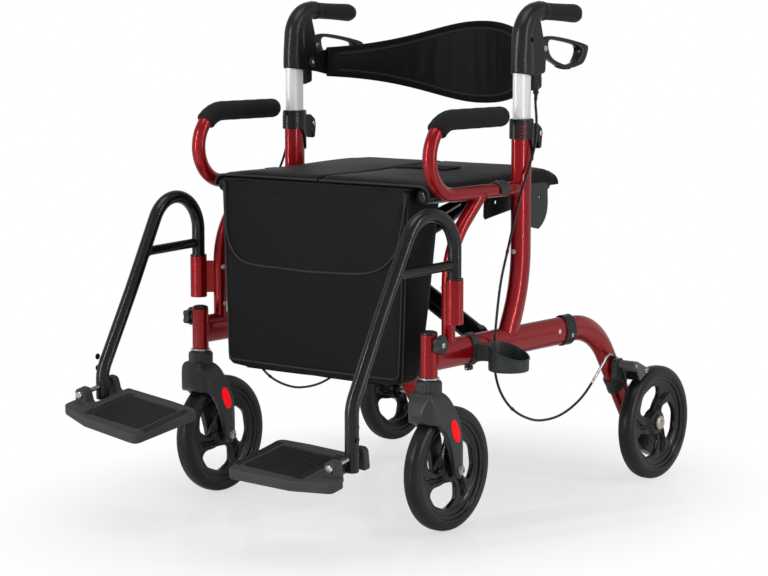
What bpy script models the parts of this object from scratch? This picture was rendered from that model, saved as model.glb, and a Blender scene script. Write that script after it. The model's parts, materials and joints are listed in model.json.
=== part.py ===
"""Rollator transport chair: a walking frame on four wheels that is also a push chair.

Metres, +Z up, +X the seated user's left, -Y the front, where the footrests are.
The floor is z = 0 and the middle of the chair's outline is x = y = 0.
"""

import math

import bpy
import bmesh
from mathutils import Matrix, Vector

# Fits shared by all pieces
GAP = 0.0003              # between pieces that touch
PIN_PLAY = 0.0003         # between a pin and its hole

# Side frame
SIDE_X = 0.247            # centre plane of each side frame
TUBE_WALL = 0.0018
BEAM_Z = 0.289            # centre line of the lower beam
BEAM_HALF_WIDE = 0.0150
BEAM_HALF_TALL = 0.0240
BEAM_FRONT_Y = -0.189
BEAM_REAR_Y = 0.200
HEAD_Y = -0.195           # swivel axis of the front casters
HEAD_RADIUS = 0.0140
HEAD_BOTTOM_Z = 0.257
HEAD_TOP_Z = 0.3255
FRONT_POST_Y = -0.144
FRONT_POST_RADIUS = 0.0112
FRONT_POST_BEND_Z = 0.402
FRONT_POST_BEND_RADIUS = 0.130
UPRIGHT_Y = 0.057
UPRIGHT_HALF_DEEP = 0.0200
UPRIGHT_HALF_WIDE = 0.0130
UPRIGHT_TOP_Z = 0.650
UPRIGHT_BEND_Z = 0.440
UPRIGHT_BEND_RADIUS = 0.270
UPRIGHT_LEAN = 24.0       # degrees, of its foot

# Armrest hoop
ARM_TUBE_RADIUS = 0.0110
ARM_LOW_Z = 0.543
ARM_BEND_RADIUS = 0.060
ARM_BEND_Y = -0.135
ARM_END_Y = 0.000
FOAM_RADIUS = 0.0155
FOAM_END = 0.008          # beyond the tube's end
FOAM_BEND_POINTS = 3      # of the bend's points that the foam covers

# Rear leg and wheel
LEG_HALF_WIDE = 0.0129
LEG_HALF_DEEP = 0.0219
LEG_START_Y = 0.150
LEG_BEND_Y = 0.215
LEG_BEND_RADIUS = 0.125
LEG_SLOPE = 55.4          # degrees below level
LEG_BEYOND_AXLE = 0.018
PEDAL_RIBS = 4
WHEEL_RADIUS = 0.1016
REAR_WHEEL_X = 0.2940
WHEEL_HALF_WIDE = 0.0150
TYRE_DEPTH = 0.0160
HUB_RADIUS = 0.0190
REAR_HUB_HALF = 0.0142
CAP_THICK = 0.0034
AXLE_RADIUS = 0.0050
COLLAR_LENGTH = 0.030
COLLAR_WALL = 0.0025
COLLAR_LAP = 0.024        # of the collar over the beam

# Front caster
CASTER_TRAIL = 0.048
FORK_HALF_WIDE = 0.0290
FORK_CROWN_HALF_WIDE = 0.0185
FORK_INNER_HALF = 0.0178
CASTER_AXLE_RADIUS = 0.0040
FORK_TOP_Z = 0.2345
RING_NUT_RADIUS = 0.0210
RING_NUT_TOP_Z = 0.2530
STEM_RADIUS = 0.0080
STEM_TOP_Z = 0.316
STEM_BOTTOM_Z = 0.220
STEM_FLANGE_RADIUS = 0.0125
KNOB_Z = 0.310
KNOB_RADIUS = 0.0165
KNOB_LOBES = 5
KNOB_THICK = 0.0150
KNOB_STUD_RADIUS = 0.0035

# Footrest
SOCKET_X = 0.276
SOCKET_Y = -0.167
SOCKET_RADIUS = 0.0143
SOCKET_BOTTOM_Z = 0.341
SOCKET_TOP_Z = 0.412
SOCKET_FLOOR = 0.004
HANGER_RADIUS = 0.0110
HANGER_BEND_Z = 0.459
HANGER_BEND_RADIUS = 0.060
HANGER_LEAN = 28.5        # degrees from upright
HANGER_FOOT_X = 0.266
HANGER_FOOT_Y = -0.413
HANGER_FOOT_BEND_RADIUS = 0.060
HANGER_BRACE_RADIUS = 0.0080
HANGER_BRACE_Z = 0.432
LEG_END_BELOW_HINGE = 0.021
LEFT_HINGE_Z = 0.164      # the left plate is pinned one hole lower
RIGHT_HINGE_Z = 0.219
PLATE_PITCH = 10.0        # degrees, toe down
PLATE_ROLL = {1: 3.0, -1: -4.0}   # degrees, inner edge up
PLATE_INNER = 0.178       # from the hinge line to the inner edge
PLATE_OUTER = 0.018
PLATE_FRONT = 0.1007
PLATE_REAR = 0.043
PLATE_DROP = 0.0140       # top of the rim below the hinge line
PLATE_SKIRT = 0.0170
PLATE_FLOOR = 0.0040
PLATE_RECESS = 0.0025
PLATE_RIB_COUNT = 3
PLATE_PIN_RADIUS = 0.0040
LUG_RADIUS = 0.0095

# Fold: two straight arms crossing under the seat
FOLD_X = 0.213            # of the lower pins and of the seat rails
ARM_PIN_Z = 0.300
RAIL_Z = 0.540
ARM_MID_Y = -0.008
ARM_HALF_DEEP = 0.0090
ARM_PLAY = 0.0006
ARM_HALF_TALL = 0.0180
ARM_TIP_HALF_TALL = 0.0100
ARM_PIN_RADIUS = 0.0050
PIVOT_RADIUS = 0.0060
RAIL_RADIUS = 0.0125
RAIL_FRONT_Y = -0.170
RAIL_REAR_Y = 0.176

# Seat, bag and backrest
SEAT_SLOT = 0.0060        # half the slot between the seat's halves
SEAT_FRONT_Y = -0.172
SEAT_REAR_Y = 0.190
SEAT_SKIN = 0.0030
SEAT_THICK = 0.0110
SEAT_HEM = 0.0220         # over which the pad thins to its front and rear edges
BAG_RAIL_GAP = 0.0045     # between the bag's top and the seat rails
BAG_TOP_HALF = FOLD_X - RAIL_RADIUS - BAG_RAIL_GAP
BAG_BOTTOM_HALF = 0.184
BAG_FRONT_Y = -0.193
BAG_BACK_Y = -0.098            # at the top
BAG_BACK_LOW_Y = -0.148        # at the bottom, which is shallower
BAG_BOTTOM_Z = 0.232
BAG_CORNER = 0.0100
BACK_END_Y = 0.112
BACK_BOW = 0.176
BACK_HALF_THICK = 0.0070
BACK_TAB_HALF_THICK = 0.0018
BACK_Z = 0.742
BACK_END_HEIGHT = 0.047
BACK_MID_HEIGHT = 0.137

# Handle
POST_HALF_DEEP = 0.0178
POST_HALF_WIDE = 0.0108
POST_BOTTOM_Z = 0.545
POST_TOP_Z = 0.770
HANDLE_BOTTOM_Z = 0.729
HANDLE_HALF_WIDE = 0.0165
HANDLE_HALF_DEEP = 0.0215
HANDLE_BEND_RADIUS = 0.0470
HOUSING_HALF_WIDE = 0.0145
GRIP_Z = 0.834
GRIP_START_Y = 0.129
GRIP_END_Y = 0.229
GRIP_RADIUS = 0.0155
GRIP_DROP = 0.005
STUB_RADIUS = 0.0105
STUB_END_Y = 0.212
LEVER_DROP = 0.0620       # of the brake lever's pin below the grip
LEVER_PIN = (UPRIGHT_Y + HANDLE_BEND_RADIUS, GRIP_Z - LEVER_DROP)
LEVER_LENGTH = 0.1400
LEVER_PIN_RADIUS = 0.0030
LEVER_HALF_WIDE = 0.0060
CHEEK_GAP = 0.0006
SLEEVE_LIP = 0.0070       # of the collar above the upright's end
SLEEVE_TOP_Z = UPRIGHT_TOP_Z + SLEEVE_LIP
SLEEVE_FRONT_LONG = 0.0330
SLEEVE_FRONT_Z = SLEEVE_TOP_Z - SLEEVE_FRONT_LONG
SLEEVE_REAR_LONG = 0.0690
SLEEVE_REAR_Z = SLEEVE_TOP_Z - SLEEVE_REAR_LONG
SLEEVE_WALL = 0.0026
CLAMP_BACK = 0.0205       # of the clamp pin behind the upright
CLAMP_DROP = 0.0250       # of the clamp pin below the collar's top
CLAMP_PIN = (UPRIGHT_Y + UPRIGHT_HALF_DEEP + CLAMP_BACK, SLEEVE_TOP_Z - CLAMP_DROP)
CLAMP_PIN_RADIUS = 0.0025
CLAMP_HALF_WIDE = 0.0080
CLAMP_LENGTH = 0.0370

# Brake
CABLE_RADIUS = 0.0022
CABLE_X = 0.2665
ARM_PIVOT = (0.331, 0.214)    # y and z of the brake arm's pin
ARM_PIVOT_RADIUS = 0.0035
SHOE_GAP = 0.0030

# Cane holder
CUP_X = 0.3065
CUP_Y = -0.060
CUP_RADIUS = 0.0335
CUP_WALL = 0.0025
CUP_BOTTOM_Z = 0.2555
CUP_RIM_Z = 0.289
CUP_SLANT = 0.38

# Facets: pieces that nest share a count
OVAL_SIDES = 14
POST_SIDES = 14
TUBE_SIDES = 10
WHEEL_SIDES = 26
CUP_SIDES = 22

X_AXIS = Vector((1, 0, 0))
Y_AXIS = Vector((0, 1, 0))
Z_AXIS = Vector((0, 0, 1))
helper_count = 0


def clear_scene():
    for old in list(bpy.data.objects):
        bpy.data.objects.remove(old, do_unlink=True)


def material(name, colour, roughness, metallic=0.0):
    made = bpy.data.materials.new(name)
    made.use_nodes = True
    made.diffuse_color = (*colour, 1.0)
    shader = made.node_tree.nodes["Principled BSDF"]
    shader.inputs["Base Color"].default_value = (*colour, 1.0)
    shader.inputs["Roughness"].default_value = roughness
    shader.inputs["Metallic"].default_value = metallic
    return made


def mesh_from(name, bm, side, home=(0, 0, 0)):
    """The mesh of a shape drawn on the left side, mirrored when side is -1."""
    if side < 0:
        bmesh.ops.scale(bm, vec=(-1, 1, 1), verts=bm.verts)
    bmesh.ops.recalc_face_normals(bm, faces=bm.faces)
    bmesh.ops.translate(bm, vec=-Vector((home[0] * side, home[1], home[2])), verts=bm.verts)
    mesh = bpy.data.meshes.new(name)
    bm.to_mesh(mesh)
    bm.free()
    return mesh


def add_to_chair(piece):
    """Hangs an object on the empty that centres the chair's outline on the origin."""
    bpy.context.scene.collection.objects.link(piece)
    piece.parent = bpy.data.objects["chair"]


def solid(name, bm, finish, side=1, home=(0, 0, 0)):
    """A named piece whose origin is its seat or its joint's axis."""
    mesh = mesh_from(name, bm, side, home)
    mesh.materials.append(finish)
    mesh.shade_smooth()
    mesh.set_sharp_from_angle(angle=math.radians(38))
    piece = bpy.data.objects.new(name, mesh)
    piece.location = (home[0] * side, home[1], home[2])
    add_to_chair(piece)
    return piece


def helper(bm, side):
    """A hidden shape that a Boolean uses."""
    global helper_count
    helper_count += 1
    name = "helper_%03d" % helper_count
    tool = bpy.data.objects.new(name, mesh_from(name, bm, side))
    tool.hide_render = True
    tool.display_type = 'WIRE'
    add_to_chair(tool)
    return tool


def combine(piece, bm, operation, side):
    step = piece.modifiers.new(operation.lower(), 'BOOLEAN')
    step.operation = operation
    step.solver = 'EXACT'
    step.object = helper(bm, side)


def join(piece, bm, side=1):
    combine(piece, bm, 'UNION', side)


def cut(piece, bm, side=1):
    combine(piece, bm, 'DIFFERENCE', side)


def side_name(side, word):
    return ("left_" if side > 0 else "right_") + word


def section(point, tangent, half_wide, half_deep, sides, corner=2.0):
    """One cross-section: half_wide lies along X, half_deep square to it and to the tangent.
    A corner of 2 is an ellipse, and a larger one a rounded rectangle."""
    tangent = Vector(tangent).normalized()
    guide = Y_AXIS if abs(tangent.x) > 0.9 else X_AXIS
    wide = (guide - tangent * tangent.dot(guide)).normalized()
    deep = wide.cross(tangent)
    ring = []
    for index in range(sides):
        angle = 2 * math.pi * (index + 0.5) / sides
        c, s = math.cos(angle), math.sin(angle)
        c = math.copysign(abs(c) ** (2 / corner), c)
        s = math.copysign(abs(s) ** (2 / corner), s)
        ring.append(Vector(point) + wide * (half_wide * c) + deep * (half_deep * s))
    return ring


def loft(rings, hollow=False):
    """Skins closed rings of equal count. A hollow one joins its last ring to its first."""
    bm = bmesh.new()
    loops = [[bm.verts.new(point) for point in ring] for ring in rings]
    pairs = list(zip(loops, loops[1:]))
    if hollow:
        pairs.append((loops[-1], loops[0]))
    else:
        bm.faces.new(loops[0])
        bm.faces.new(loops[-1])
    for low, high in pairs:
        for index in range(len(low)):
            bm.faces.new((low[index - 1], low[index], high[index], high[index - 1]))
    return bm


def tangents(path):
    path = [Vector(point) for point in path]
    ends = [path[0]] + path + [path[-1]]
    return [((after - at).normalized() if after != at else Vector()) +
            ((at - before).normalized() if at != before else Vector())
            for before, at, after in zip(ends, ends[1:], ends[2:])]


def sweep(path, half_wide, half_deep, sides, corner=2.0):
    """A bar along a path. The half sizes may be lists, one value for each point."""
    wides = half_wide if isinstance(half_wide, list) else [half_wide] * len(path)
    deeps = half_deep if isinstance(half_deep, list) else [half_deep] * len(path)
    return loft([section(point, tangent, wide, deep, sides, corner)
                 for point, tangent, wide, deep in zip(path, tangents(path), wides, deeps)])


def rod(start, end, radius, sides=12):
    return sweep([Vector(start), Vector(end)], radius, radius, sides)


def arc(centre, radius, start, end, steps):
    """Points round an arc in a plane, angles in degrees."""
    turns = [math.radians(start + (end - start) * step / steps) for step in range(steps + 1)]
    return [(centre[0] + radius * math.cos(turn), centre[1] + radius * math.sin(turn))
            for turn in turns]


def in_side_plane(points, x=SIDE_X):
    return [Vector((x, y, z)) for y, z in points]


def rounded(outline, radius, steps=3):
    """Rounds each corner of a closed outline, by one radius or one for each corner."""
    radii = radius if isinstance(radius, list) else [radius] * len(outline)
    result = []
    for index, corner_radius in enumerate(radii):
        corner = Vector(outline[index])
        before = Vector(outline[index - 1]) - corner
        after = Vector(outline[(index + 1) % len(outline)]) - corner
        if corner_radius <= 0:
            result.append(tuple(corner))
            continue
        half = before.angle(after) / 2
        reach = min(corner_radius / math.tan(half), 0.48 * before.length, 0.48 * after.length)
        first = corner + before.normalized() * reach
        last = corner + after.normalized() * reach
        for step in range(steps + 1):
            share = step / steps
            result.append(tuple(first.lerp(corner, share).lerp(corner.lerp(last, share), share)))
    return result


def prism(outline, low, high, axis):
    """A flat outline carried square to itself. On axis X it is drawn in (y, z), on Y in (x, z)
    and on Z in (x, y)."""
    def at(a, b, height):
        return {'X': (height, a, b), 'Y': (a, height, b), 'Z': (a, b, height)}[axis]
    return loft([[Vector(at(a, b, height)) for a, b in outline] for height in (low, high)])


def fitted(shape, origin, size, tall=None):
    """An outline drawn in shares of a size, put at its origin."""
    tall = tall or size
    return [(origin[0] + share_y * size, origin[1] + share_z * tall) for share_y, share_z in shape]


def block(x0, x1, y0, y1, z0, z1):
    return prism([(y0, z0), (y1, z0), (y1, z1), (y0, z1)], x0, x1, 'X')


def turned_rings(profile, centre, axis, sides):
    """Circles of (radius, height) points about an axis through the centre."""
    axis = Vector(axis)
    first = Y_AXIS if abs(axis.x) > 0.5 else X_AXIS
    second = axis.cross(first)
    rings = []
    for radius, height in profile:
        middle = Vector(centre) + axis * height
        turns = [2 * math.pi * (index + 0.5) / sides for index in range(sides)]
        rings.append([middle + (first * math.cos(turn) + second * math.sin(turn)) * radius
                      for turn in turns])
    return rings


def turned(profile, centre, axis, sides):
    """Turns a closed profile into a ring, such as a wheel."""
    return loft(turned_rings(profile, centre, axis, sides), hollow=True)


def turned_solid(profile, centre, axis, sides):
    """Turns an open profile into a solid with a flat face at each end."""
    return loft(turned_rings(profile, centre, axis, sides))


def disc_profile(*steps):
    """A stepped shaft's profile from (radius, start, end) steps along its axis."""
    profile = []
    for radius, start, end in steps:
        profile += [(radius, start), (radius, end)]
    return profile


def shaft(steps, centre, axis, sides=14):
    """A stepped shaft, closed at both ends."""
    return turned_solid(disc_profile(*steps), centre, axis, sides)


def leg_axle():
    """Where the rear leg's centre line reaches the height of the axle."""
    slope = math.radians(LEG_SLOPE)
    bend_y = LEG_BEND_Y + LEG_BEND_RADIUS * math.sin(slope)
    bend_z = BEAM_Z - LEG_BEND_RADIUS * (1 - math.cos(slope))
    run = (bend_z - WHEEL_RADIUS) / math.tan(slope)
    return bend_y + run, WHEEL_RADIUS


def fold_angle():
    return math.atan2(RAIL_Z - ARM_PIN_Z, 2 * FOLD_X)


def arm_y(side):
    """Centre plane of the arm whose foot is on this side."""
    return ARM_MID_Y - side * (ARM_HALF_DEEP + ARM_PLAY)


def side_frame(side, red):
    """One welded frame: beam, head tube, posts, armrest hoop, footrest socket and arm lugs."""
    name = side_name(side, "side_frame")
    beam = sweep(in_side_plane([(BEAM_FRONT_Y, BEAM_Z), (BEAM_REAR_Y, BEAM_Z)]),
                 BEAM_HALF_WIDE, BEAM_HALF_TALL, OVAL_SIDES)
    frame = solid(name, beam, red, side)
    join(frame, rod((SIDE_X, HEAD_Y, HEAD_BOTTOM_Z), (SIDE_X, HEAD_Y, HEAD_TOP_Z),
                    HEAD_RADIUS, 14), side)
    post = [(FRONT_POST_Y, BEAM_Z)] + arc(
        (FRONT_POST_Y + FRONT_POST_BEND_RADIUS, FRONT_POST_BEND_Z), FRONT_POST_BEND_RADIUS,
        180, 103, 4)
    join(frame, sweep(in_side_plane(post), FRONT_POST_RADIUS, FRONT_POST_RADIUS, TUBE_SIDES), side)
    join(frame, sweep(in_side_plane(upright_path()), UPRIGHT_HALF_WIDE, UPRIGHT_HALF_DEEP,
                      POST_SIDES), side)
    join(frame, sweep(in_side_plane(hoop_path()), ARM_TUBE_RADIUS, ARM_TUBE_RADIUS, TUBE_SIDES), side)
    join(frame, socket_web(), side)
    join(frame, rod((SOCKET_X, SOCKET_Y, SOCKET_BOTTOM_Z), (SOCKET_X, SOCKET_Y, SOCKET_TOP_Z),
                    SOCKET_RADIUS, 14), side)
    join(frame, arm_lugs(side), side)
    cut(frame, sweep(in_side_plane([(LEG_START_Y - 0.006, BEAM_Z), (BEAM_REAR_Y + 0.01, BEAM_Z)]),
                     BEAM_HALF_WIDE - TUBE_WALL, BEAM_HALF_TALL - TUBE_WALL, OVAL_SIDES), side)
    cut(frame, rod((SIDE_X, HEAD_Y, HEAD_BOTTOM_Z - 0.01), (SIDE_X, HEAD_Y, STEM_TOP_Z + 0.002),
                   STEM_RADIUS + PIN_PLAY, 12), side)
    cut(frame, sweep(in_side_plane([(UPRIGHT_Y, POST_BOTTOM_Z - 0.075),
                                    (UPRIGHT_Y, UPRIGHT_TOP_Z + 0.01)]),
                     POST_HALF_WIDE + GAP, POST_HALF_DEEP + GAP, POST_SIDES), side)
    cut(frame, rod((SOCKET_X, SOCKET_Y, SOCKET_BOTTOM_Z + SOCKET_FLOOR),
                   (SOCKET_X, SOCKET_Y, SOCKET_TOP_Z + 0.01), HANGER_RADIUS + PIN_PLAY, 14), side)
    cut(frame, rod((SIDE_X + 0.003, HEAD_Y, KNOB_Z), (SIDE_X + HEAD_RADIUS + 0.01, HEAD_Y, KNOB_Z),
                   KNOB_STUD_RADIUS + PIN_PLAY, 12), side)
    return frame


def upright_path():
    """The rear upright, from the beam to the height collar."""
    lean = math.radians(UPRIGHT_LEAN)
    bend = arc((UPRIGHT_Y - UPRIGHT_BEND_RADIUS, UPRIGHT_BEND_Z), UPRIGHT_BEND_RADIUS,
               -UPRIGHT_LEAN, 0, 4)
    foot_y, foot_z = bend[0]
    drop = foot_z - (BEAM_Z + 0.4 * BEAM_HALF_TALL)
    return [(foot_y - drop * math.tan(lean), foot_z - drop)] + bend + [(UPRIGHT_Y, UPRIGHT_TOP_Z)]


def hoop_bend():
    """The points of the armrest hoop's front bend, from the bottom up."""
    return arc((ARM_BEND_Y, ARM_LOW_Z + ARM_BEND_RADIUS), ARM_BEND_RADIUS, 270, 90, 8)


def hoop_path():
    """The armrest hoop, from the upright forward, round the front bend and back."""
    return [(UPRIGHT_Y - 0.6 * UPRIGHT_HALF_DEEP, ARM_LOW_Z)] + hoop_bend() + [
        (ARM_END_Y, ARM_LOW_Z + 2 * ARM_BEND_RADIUS)]


def socket_web():
    """The short plate that welds the footrest socket to the front post."""
    start = Vector((SIDE_X, FRONT_POST_Y))
    end = Vector((SOCKET_X, SOCKET_Y))
    across = Vector((end.y - start.y, start.x - end.x)).normalized() * 0.0035
    outline = [tuple(start + across), tuple(end + across), tuple(end - across), tuple(start - across)]
    return prism(outline, SOCKET_BOTTOM_Z + 0.008, SOCKET_TOP_Z - 0.008, 'Z')


def arm_lugs(side):
    """Two ears and a pin, inboard of the beam, that carry the foot of one folding arm."""
    middle = arm_y(side)
    inner = FOLD_X - 0.0085
    outer = SIDE_X - BEAM_HALF_WIDE + 0.006
    ear = rounded([(inner, ARM_PIN_Z - 0.009), (outer, ARM_PIN_Z - 0.013),
                   (outer, ARM_PIN_Z + 0.008), (inner, ARM_PIN_Z + 0.009)],
                  [0.0085, 0, 0, 0.0085])
    near = ARM_HALF_DEEP + ARM_PLAY
    far = near + 0.0035
    bm = prism(ear, middle + near, middle + far, 'Y')
    merge(bm, prism(ear, middle - far, middle - near, 'Y'))
    merge(bm, rod((FOLD_X, middle - far + 0.001, ARM_PIN_Z), (FOLD_X, middle + far - 0.001, ARM_PIN_Z),
                  ARM_PIN_RADIUS, 12))
    return bm


def merge(bm, other):
    """Adds a second shape to a first, for one Boolean that takes both."""
    mesh = bpy.data.meshes.new("merge")
    other.to_mesh(mesh)
    other.free()
    bm.from_mesh(mesh)
    bpy.data.meshes.remove(mesh)


def rear_leg(side, red):
    """The bent oval tube from inside the beam down to the rear axle."""
    slope = math.radians(LEG_SLOPE)
    bend = arc((LEG_BEND_Y, BEAM_Z - LEG_BEND_RADIUS), LEG_BEND_RADIUS, 90, 90 - LEG_SLOPE, 5)
    axle_y, axle_z = leg_axle()
    end = (axle_y + LEG_BEYOND_AXLE * math.cos(slope), axle_z - LEG_BEYOND_AXLE * math.sin(slope))
    path = in_side_plane([(LEG_START_Y, BEAM_Z)] + bend + [end])
    leg = solid(side_name(side, "rear_leg_tube"),
                sweep(path, LEG_HALF_WIDE, LEG_HALF_DEEP, OVAL_SIDES), red, side)
    cut(leg, rod((SIDE_X - 0.03, axle_y, axle_z), (SIDE_X + 0.03, axle_y, axle_z),
                 AXLE_RADIUS + PIN_PLAY, 12), side)
    return leg


def beam_collar(side, black):
    """The moulded collar over the joint of beam and rear leg."""
    start = BEAM_REAR_Y - COLLAR_LAP
    end = start + COLLAR_LENGTH
    outer = (BEAM_HALF_WIDE + COLLAR_WALL, BEAM_HALF_TALL + COLLAR_WALL)
    beam = (BEAM_HALF_WIDE + GAP, BEAM_HALF_TALL + GAP)
    leg = (LEG_HALF_WIDE + GAP, LEG_HALF_DEEP + GAP)
    steps = [(start, beam), (start, outer), (end - 0.003, outer),
             (end, (outer[0] - 0.0012, outer[1] - 0.0012)), (end, leg),
             (BEAM_REAR_Y + GAP, leg), (BEAM_REAR_Y + GAP, beam)]
    rings = [section((SIDE_X, y, BEAM_Z), Y_AXIS, *half, OVAL_SIDES) for y, half in steps]
    return solid(side_name(side, "beam_collar"), loft(rings, hollow=True), black, side)


def armrest_foam(side, black):
    """A foam sleeve over the hoop's top run, closed and rounded at its rear end."""
    top = ARM_LOW_Z + 2 * ARM_BEND_RADIUS

    def along_hoop(radius, end_y):
        path = in_side_plane(hoop_path()[:-1] + [(end_y, top)])
        rings = [section(point, tangent, radius, radius, TUBE_SIDES)
                 for point, tangent in zip(path, tangents(path))]
        return rings[-FOAM_BEND_POINTS - 1:]

    bore = along_hoop(ARM_TUBE_RADIUS + GAP, ARM_END_Y + GAP)
    skin_end = ARM_END_Y - 0.004
    skin = along_hoop(FOAM_RADIUS, skin_end)
    dome = []
    for turn in (34, 66):
        angle = math.radians(turn)
        y = skin_end + (ARM_END_Y + FOAM_END - skin_end) * math.sin(angle)
        dome.append(section((SIDE_X, y, top), Y_AXIS, FOAM_RADIUS * math.cos(angle),
                            FOAM_RADIUS * math.cos(angle), TUBE_SIDES))
    return solid(side_name(side, "armrest_foam"), loft(bore[::-1] + skin + dome), black, side)


def seat_saddle(side, black):
    """The clip over the hoop's lower run that the seat rail locks against."""
    middle = ARM_LOW_Z
    outer = arc((SIDE_X, middle), ARM_TUBE_RADIUS + 0.0033, 205, -25, 9)
    inner = arc((SIDE_X, middle), ARM_TUBE_RADIUS + GAP, -25, 205, 9)
    return solid(side_name(side, "seat_saddle"), prism(outer + inner, 0.000, 0.024, 'Y'), black, side)


def rear_plate(side, black):
    """The quarter-round plate behind the upright at seat level."""
    front = UPRIGHT_Y + UPRIGHT_HALF_DEEP + GAP
    outline = [(front, 0.474), (front, 0.547), (0.133, 0.547), (0.1345, 0.512)] + arc(
        (0.0885, 0.512), 0.0460, -12, -80, 5)
    plate = solid(side_name(side, "rear_plate"),
                  prism(outline, SIDE_X - 0.0016, SIDE_X + 0.0016, 'X'), black, side)
    cut(plate, rod((SIDE_X - 0.01, 0.111, 0.523), (SIDE_X + 0.01, 0.111, 0.523), 0.003, 10), side)
    return plate


def height_collar(side, black):
    """The sleeve at the top of the upright, with two ears for the clamp lever."""
    centre = (UPRIGHT_Y, SLEEVE_TOP_Z)
    wide = UPRIGHT_HALF_WIDE + SLEEVE_WALL
    deep = UPRIGHT_HALF_DEEP + SLEEVE_WALL
    body = sweep(in_side_plane([(UPRIGHT_Y, SLEEVE_REAR_Z), (UPRIGHT_Y, SLEEVE_TOP_Z - 0.003), centre]),
                 [wide, wide, wide - 0.0015], [deep, deep, deep - 0.0015], POST_SIDES)
    sleeve = solid(side_name(side, "height_collar"), body, black, side)
    root_y = UPRIGHT_Y + 0.6 * UPRIGHT_HALF_DEEP
    tip_y = CLAMP_PIN[0] + 0.0045
    ear = rounded([(root_y, UPRIGHT_TOP_Z), (CLAMP_PIN[0] - 0.008, UPRIGHT_TOP_Z - 0.002),
                   (tip_y, CLAMP_PIN[1] + 0.0070), (tip_y, CLAMP_PIN[1] - 0.0055),
                   (root_y, SLEEVE_FRONT_Z - 0.012)], [0, 0.004, 0.004, 0.004, 0], 2)
    near = CLAMP_HALF_WIDE + 2 * GAP
    for low, high in ((near, near + 0.0025), (-near - 0.0025, -near)):
        join(sleeve, prism(ear, SIDE_X + low, SIDE_X + high, 'X'), side)
    cut(sleeve, sweep(in_side_plane([(UPRIGHT_Y, SLEEVE_REAR_Z - 0.01), (UPRIGHT_Y, UPRIGHT_TOP_Z + GAP)]),
                      UPRIGHT_HALF_WIDE + GAP, UPRIGHT_HALF_DEEP + GAP, POST_SIDES), side)
    cut(sleeve, sweep(in_side_plane([(UPRIGHT_Y, UPRIGHT_TOP_Z - 0.01), (UPRIGHT_Y, SLEEVE_TOP_Z + 0.01)]),
                      POST_HALF_WIDE + GAP, POST_HALF_DEEP + GAP, POST_SIDES), side)
    cut(sleeve, rod((SIDE_X - 0.03, *CLAMP_PIN), (SIDE_X + 0.03, *CLAMP_PIN),
                    CLAMP_PIN_RADIUS + PIN_PLAY, 10), side)
    front = UPRIGHT_Y - UPRIGHT_HALF_DEEP - 0.01
    rear = UPRIGHT_Y + UPRIGHT_HALF_DEEP + 0.02
    tongue = SLEEVE_FRONT_Z - SLEEVE_REAR_Z
    swoosh = [(front, SLEEVE_REAR_Z - 0.02), (front, SLEEVE_FRONT_Z),
              (UPRIGHT_Y, SLEEVE_FRONT_Z - 0.03 * tongue),
              (UPRIGHT_Y + 0.50 * UPRIGHT_HALF_DEEP, SLEEVE_FRONT_Z - 0.33 * tongue),
              (UPRIGHT_Y + 0.85 * UPRIGHT_HALF_DEEP, SLEEVE_REAR_Z + 0.08 * tongue),
              (rear, SLEEVE_REAR_Z - 0.11 * tongue), (rear, SLEEVE_REAR_Z - 0.02)]
    cut(sleeve, prism(swoosh, SIDE_X - 0.04, SIDE_X + 0.04, 'X'), side)
    return sleeve


def clamp_lever(side, black):
    """The quick-release lever behind the collar, closed along the tube."""
    y, z = CLAMP_PIN
    shape = [(-0.1622, 0.1622), (0.1622, 0.2703), (0.2703, -0.1081), (0.2027, -0.6486),
             (0.0405, -0.7297), (-0.0541, -0.3243), (-0.1622, -0.1351)]
    outline = rounded(fitted(shape, CLAMP_PIN, CLAMP_LENGTH), 0.11 * CLAMP_LENGTH, 2)
    lever = solid(side_name(side, "clamp_lever"),
                  prism(outline, SIDE_X - CLAMP_HALF_WIDE, SIDE_X + CLAMP_HALF_WIDE, 'X'), black,
                  side, (SIDE_X, y, z))
    reach = CLAMP_HALF_WIDE + 0.0030
    join(lever, rod((SIDE_X - reach, y, z), (SIDE_X + reach, y, z), CLAMP_PIN_RADIUS, 10), side)
    return lever


def handle_post(side, silver):
    post = sweep(in_side_plane([(UPRIGHT_Y, POST_BOTTOM_Z), (UPRIGHT_Y, POST_TOP_Z)]),
                 POST_HALF_WIDE, POST_HALF_DEEP, POST_SIDES)
    return solid(side_name(side, "handle_post"), post, silver, side)


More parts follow.
